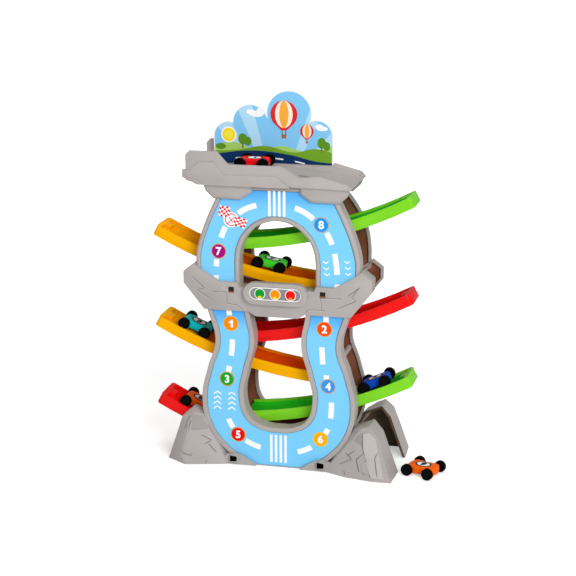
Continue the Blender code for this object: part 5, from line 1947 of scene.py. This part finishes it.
@dataclass
class Car:
    """A small flip car, the same both ways up: a waisted body and two wheelsets."""

    name: str
    paint: str
    number: str
    place: Matrix
    wheelbase: float = 27.2
    track: float = 31.8
    wheel_radius: float = 6.9
    wheel_width: float = 6.0
    length: float = 35.0
    half_width: float = 12.0
    waist: float = 10.8
    height: float = 9.8
    axle_radius: float = 1.1
    edge_round: float = 2.4
    round_steps: int = 5
    # The outline's right half: shares of half the length, and of the waist or the width
    waist_run: tuple = ((0.0, 1.0), (0.26, 1.06))
    end_run: tuple = ((0.52, 0.98), (0.80, 0.94), (0.97, 0.62))
    # Half axes, lift off the body and material slot of a number plate's rim and field
    plates: tuple = ((9.9, 7.8, 0.0, 0), (7.9, 5.8, 0.06, 1))
    plate_thickness: float = 0.35
    plate_sides: int = 36
    digit_height: float = 8.4
    digit_heavier: float = 1.0
    digit_lift: float = 0.27
    # The wheel's outer profile: shares of the radius, and depths in from its face
    wheel_profile: tuple = ((1.0, 1.1), (0.955, 0.35), (0.88, 0.0), (0.70, 0.0), (0.64, 0.8),
                            (0.30, 0.9), (0.26, 0.35))
    inner_shoulder: Pair = (0.90, 0.7)
    cap_depth: float = 0.25
    hub_share: float = 0.68
    wheel_sides: int = 32
    seam: float = 0.001

    def body(self) -> BMesh:
        """Make the body: a slab with a waist, its edges rounded in steps of inset and rise.

        Returns:
            The closed body.
        """
        reach = self.length / 2
        right = [Knot(reach * along, self.waist * share) for along, share in self.waist_run]
        right += [Knot(reach * along, self.half_width * share) for along, share in self.end_run]
        upper = right + [Knot(reach, 0.0)] + [Knot(k.x, -k.z) for k in reversed(right)]
        outline = upper + [Knot(-k.x, k.z) for k in reversed(upper) if k.x > 0]
        flat = self.height - 2 * self.edge_round
        bm = thicken(flat_face(outline, steps=4), flat)
        caps = [max(bm.faces, key=lambda f: side * f.calc_center_median().y) for side in (-1, 1)]
        turns = [pi / 2 * step / self.round_steps for step in range(self.round_steps + 1)]
        for cap in caps:
            for before, after in zip(turns, turns[1:]):
                bmesh.ops.inset_region(
                    bm, faces=[cap], thickness=self.edge_round * (cos(before) - cos(after)),
                    depth=self.edge_round * (sin(after) - sin(before)), use_even_offset=True)
        bm.transform(UPRIGHT @ Matrix.Translation((0.0, -flat / 2, 0.0)))
        return bm

    def number_plates(self) -> BMesh:
        """Make the plates and numbers on both faces.

        Returns:
            The plates and numbers, white fields as the second slot.
        """
        bm = bmesh.new()
        for side in (1, -1):
            for half_x, half_y, lift, slot in self.plates:
                oval = bmesh.new()
                bmesh.ops.create_cone(oval, cap_ends=True, segments=self.plate_sides, radius1=1.0,
                                      radius2=1.0, depth=self.plate_thickness)
                oval.transform(Matrix.Translation((0.0, 0.0, side * (self.height / 2 + lift)))
                               @ Matrix.Diagonal((half_x, half_y, 1.0, 1.0)))
                join(bm, oval, slot=slot)
            digit = numeral(self.number, 0.0, 0.0, self.digit_height, 0.0, self.digit_heavier)
            lift = side * (self.height / 2 + self.digit_lift)
            digit.transform(Matrix.Translation((0.0, 0.0, lift))
                            @ Matrix.Rotation(-pi / 2 * side, 4, "X"))
            join(bm, digit)
        return bm

    def wheelset(self, offset: float) -> BMesh:
        """Turn two wheels and their axle: rounded tyre, sunk hub and a small cap.

        Args:
            offset: how far the axle lies in front of the car's middle.

        Returns:
            The closed wheelset.
        """
        inner, outer = (self.track - self.wheel_width) / 2, (self.track + self.wheel_width) / 2
        rim = self.wheel_radius
        share, shoulder = self.inner_shoulder
        profile = [(self.axle_radius, 0.0), (self.axle_radius, inner), (rim * share, inner),
                   (rim, inner + shoulder)]
        profile += [(rim * share, outer - depth) for share, depth in self.wheel_profile]
        profile.append((0.0, outer - self.cap_depth))
        bm = bmesh.new()
        verts = [bm.verts.new((0.0, y, r)) for r, y in profile]
        edges = [bm.edges.new(pair) for pair in zip(verts, verts[1:])]
        bmesh.ops.spin(bm, geom=verts + edges, axis=(0.0, 1.0, 0.0), cent=(0.0, 0.0, 0.0),
                       steps=self.wheel_sides, angle=2 * pi, use_merge=True)
        for face in bm.faces:
            middle = face.calc_center_median()
            in_hub = Vector((middle.x, middle.z)).length < rim * self.hub_share
            face.material_index = 1 if in_hub and middle.y > inner else 0
        bmesh.ops.mirror(bm, geom=bm.verts[:] + bm.edges[:] + bm.faces[:], axis="Y",
                         merge_dist=self.seam)
        bmesh.ops.remove_doubles(bm, verts=bm.verts, dist=self.seam)
        bmesh.ops.recalc_face_normals(bm, faces=bm.faces)
        bmesh.ops.translate(bm, verts=bm.verts, vec=(offset, 0.0, 0.0))
        return bm

    def build(self) -> None:
        """Build the car at its place."""
        rider = self.name + "_body"
        body = self.body()
        body.transform(self.place)
        publish(body, self.name + "_shell", CAR_FINISHES[self.paint], body=rider,
                nodes=[rider + "_top", rider + "_bottom"], slot="car_" + self.paint)
        plates = self.number_plates()
        plates.transform(self.place)
        publish(plates, self.name + "_number_plates", PrintedFilm("plate_dark_ink", "#2a2422"),
                WHITE_INK, body=rider)
        for end, offset in (("front", self.wheelbase / 2), ("rear", -self.wheelbase / 2)):
            bm = self.wheelset(offset)
            bm.transform(self.place)
            node = f"{self.name}_{end}_wheels"
            publish(bm, node + "_turned", TYRE_BLACK, HUB_BLACK, body=node, nodes=[node],
                    slot="wheel_black")


@dataclass
class Fleet:
    """The six cars: one on the deck, four on ramps and one that has left the tower."""

    wheel_circle: float = 479.8
    half_base: float = 13.6
    ramp_y: float = 6.0
    # Name, paint, ramp, place along it and number
    on_ramps: tuple = (("green_car", "green", 1, 16.6, "7"), ("teal_car", "teal", 3, 109.0, "3"),
                       ("blue_car", "blue", 4, 110.0, "5"), ("orange_car", "orange", 5, 109.0, "8"))
    deck_place: tuple = (-36.3, 6.0, 358.9)
    floor_place: tuple = (171.0, -16.0, 6.9)
    floor_turn: float = -20.0

    def cars(self) -> list[Car]:
        """Work out the cars' places on ramps, deck and floor.

        Returns:
            The cars.
        """
        circle = sqrt(self.wheel_circle ** 2 - self.half_base ** 2)
        made = []
        for name, paint, index, u, number in self.on_ramps:
            ramp = RAMPS[index]
            angle = asin((u - ramp.centre_u) / circle)
            place = Matrix.Translation((ramp.side * (ramp.centre_u + circle * sin(angle)),
                                        self.ramp_y,
                                        ramp.low_z + ramp.radius - circle * cos(angle)))
            made.append(Car(name, paint, number,
                            place @ Matrix.Rotation(-ramp.side * angle, 4, "Y")))
        made.append(Car("red_car", "red", "1", Matrix.Translation(self.deck_place)))
        turned = Matrix.Rotation(radians(self.floor_turn), 4, "Z")
        made.append(Car("floor_car", "orange", "9",
                        Matrix.Translation(self.floor_place) @ turned))
        return made

    def build(self) -> None:
        """Build the cars."""
        for car in self.cars():
            car.build()


# Studio

@dataclass
class Studio:
    """A pale floor, soft lamps and the camera at the photograph's angle. Sizes are in metres."""

    camera_place: tuple = (0.4478, -1.7332, 0.6977)
    azimuth: float = 14.15
    elevation: float = 15.01
    roll: float = 0.3
    lens: float = 100.0
    sensor: float = 36.0
    floor_half: float = 12.0
    cloud_mm: float = 400.0
    # The floor's glow rises from this share to full white between these distances
    glow_run: Pair = (0.3, 1.2)
    floor_lift: float = 0.42
    lamps: tuple = (("key", (1.7, -2.2, 1.5), 1.2, 53.0), ("fill", (-1.6, -2.5, 1.0), 1.8, 7.0),
                    ("top", (0.1, 0.2, 2.8), 2.0, 22.0))
    lamp_target: tuple = (0.0, 0.03, 0.2)
    world_strength: float = 0.36
    white: tuple = (1.0, 1.0, 1.0, 1.0)

    def camera(self) -> None:
        """Place the camera."""
        data = bpy.data.cameras.new("camera")
        data.lens = self.lens
        data.sensor_width = self.sensor
        thing = linked("camera", data)
        a, e = radians(self.azimuth), radians(self.elevation)
        back = Vector((sin(a) * cos(e), -cos(a) * cos(e), sin(e)))
        thing.rotation_mode = "QUATERNION"
        thing.rotation_quaternion = ((-back).to_track_quat("-Z", "Y")
                                     @ Matrix.Rotation(radians(-self.roll), 4, "Z").to_quaternion())
        thing.location = self.camera_place
        bpy.context.scene.camera = thing

    def floor(self) -> None:
        """Lay the floor, which the camera sees almost white where no shadow falls."""
        bm = bmesh.new()
        bmesh.ops.create_grid(bm, x_segments=1, y_segments=1, size=self.floor_half)
        mesh = mesh_from(bm, "floor")
        batch = Mixture("pale_floor")
        cast = batch.mottle(self.cloud_mm, linear("#f2f2f2"), linear("#f4f4f4"))
        matt = add_node(batch.tree, "ShaderNodeBsdfDiffuse", {"Color": cast})
        away = add_node(batch.tree, "ShaderNodeVectorMath", {0: batch.place}, operation="LENGTH")
        level = add_node(batch.tree, "ShaderNodeMapRange",
                         {"Value": away.outputs["Value"], "From Min": self.glow_run[0],
                          "From Max": self.glow_run[1], "To Min": self.floor_lift, "To Max": 1.0},
                         interpolation_type="SMOOTHSTEP")
        path = add_node(batch.tree, "ShaderNodeLightPath")
        lift = add_node(batch.tree, "ShaderNodeMath",
                        {0: path.outputs["Is Camera Ray"], 1: level.outputs["Result"]},
                        operation="MULTIPLY")
        glow = add_node(batch.tree, "ShaderNodeEmission",
                        {"Color": self.white, "Strength": lift.outputs[0]})
        both = add_node(batch.tree, "ShaderNodeAddShader",
                        {0: matt.outputs[0], 1: glow.outputs[0]})
        add_node(batch.tree, "ShaderNodeOutputMaterial", {"Surface": both.outputs[0]})
        mesh.materials.append(batch.material)
        thing = linked("floor", mesh)

    def light(self) -> None:
        """Hang the lamps and set the world."""
        for name, place, size, power in self.lamps:
            data = bpy.data.lights.new(name, "AREA")
            data.energy = power
            data.size = size
            thing = linked(name, data)
            thing.location = place
            thing.rotation_mode = "QUATERNION"
            towards = Vector(self.lamp_target) - Vector(place)
            thing.rotation_quaternion = towards.to_track_quat("-Z", "Y")
        world = bpy.data.worlds.new("studio")
        world.use_nodes = True
        tree = world.node_tree
        tree.nodes.clear()
        path = add_node(tree, "ShaderNodeLightPath")
        level = add_node(tree, "ShaderNodeMapRange",
                         {"Value": path.outputs["Is Camera Ray"],
                          "To Min": self.world_strength, "To Max": 1.0})
        back = add_node(tree, "ShaderNodeBackground",
                        {"Color": self.white, "Strength": level.outputs["Result"]})
        add_node(tree, "ShaderNodeOutputWorld", {"Surface": back.outputs[0]})
        bpy.context.scene.world = world
        bpy.context.scene.view_settings.view_transform = "Standard"

    def build(self) -> None:
        """Build the studio."""
        self.camera()
        self.floor()
        self.light()


# Heights between which a panel's bosses stand, and x and z of the posts to its back panel
ARCH_LEVELS, LOOP_LEVELS = (230.0, 340.0), (0.0, 190.0)
ARCH_POSTS = ((-30.0, 320.0), (30.0, 320.0))
LOOP_POSTS = ((71.2, 134.0), (-46.0, 13.0), (70.0, 45.0))


def main() -> None:
    """Build the whole scene in order."""
    logging.basicConfig(level=logging.INFO, format="%(message)s")
    arch, back_arch, loop = mirrored(ARCH_KNOTS), mirrored(BACK_ARCH_KNOTS), mirrored(LOOP_KNOTS)
    pieces = [RoadPanel("upper_front_panel", arch, Facing.FRONT, ARCH_LEVELS, ARCH_POSTS),
              RoadPanel("upper_back_panel", back_arch, Facing.BACK, ARCH_LEVELS),
              RoadPanel("lower_front_panel", loop, Facing.FRONT, LOOP_LEVELS, LOOP_POSTS),
              RoadPanel("lower_back_panel", loop, Facing.BACK, LOOP_LEVELS),
              RoadLabel("road_label_upper", arch, UPPER_FILM),
              RoadLabel("road_label_lower", loop, LOWER_FILM),
              Markings(), Belt(), TrafficLight(), *RAMPS, Deck(), ScenePlate(), Rocks(),
              Screws(), Fleet(), Studio()]
    for piece in pieces:
        piece.build()


if __name__ == "__main__":
    main()
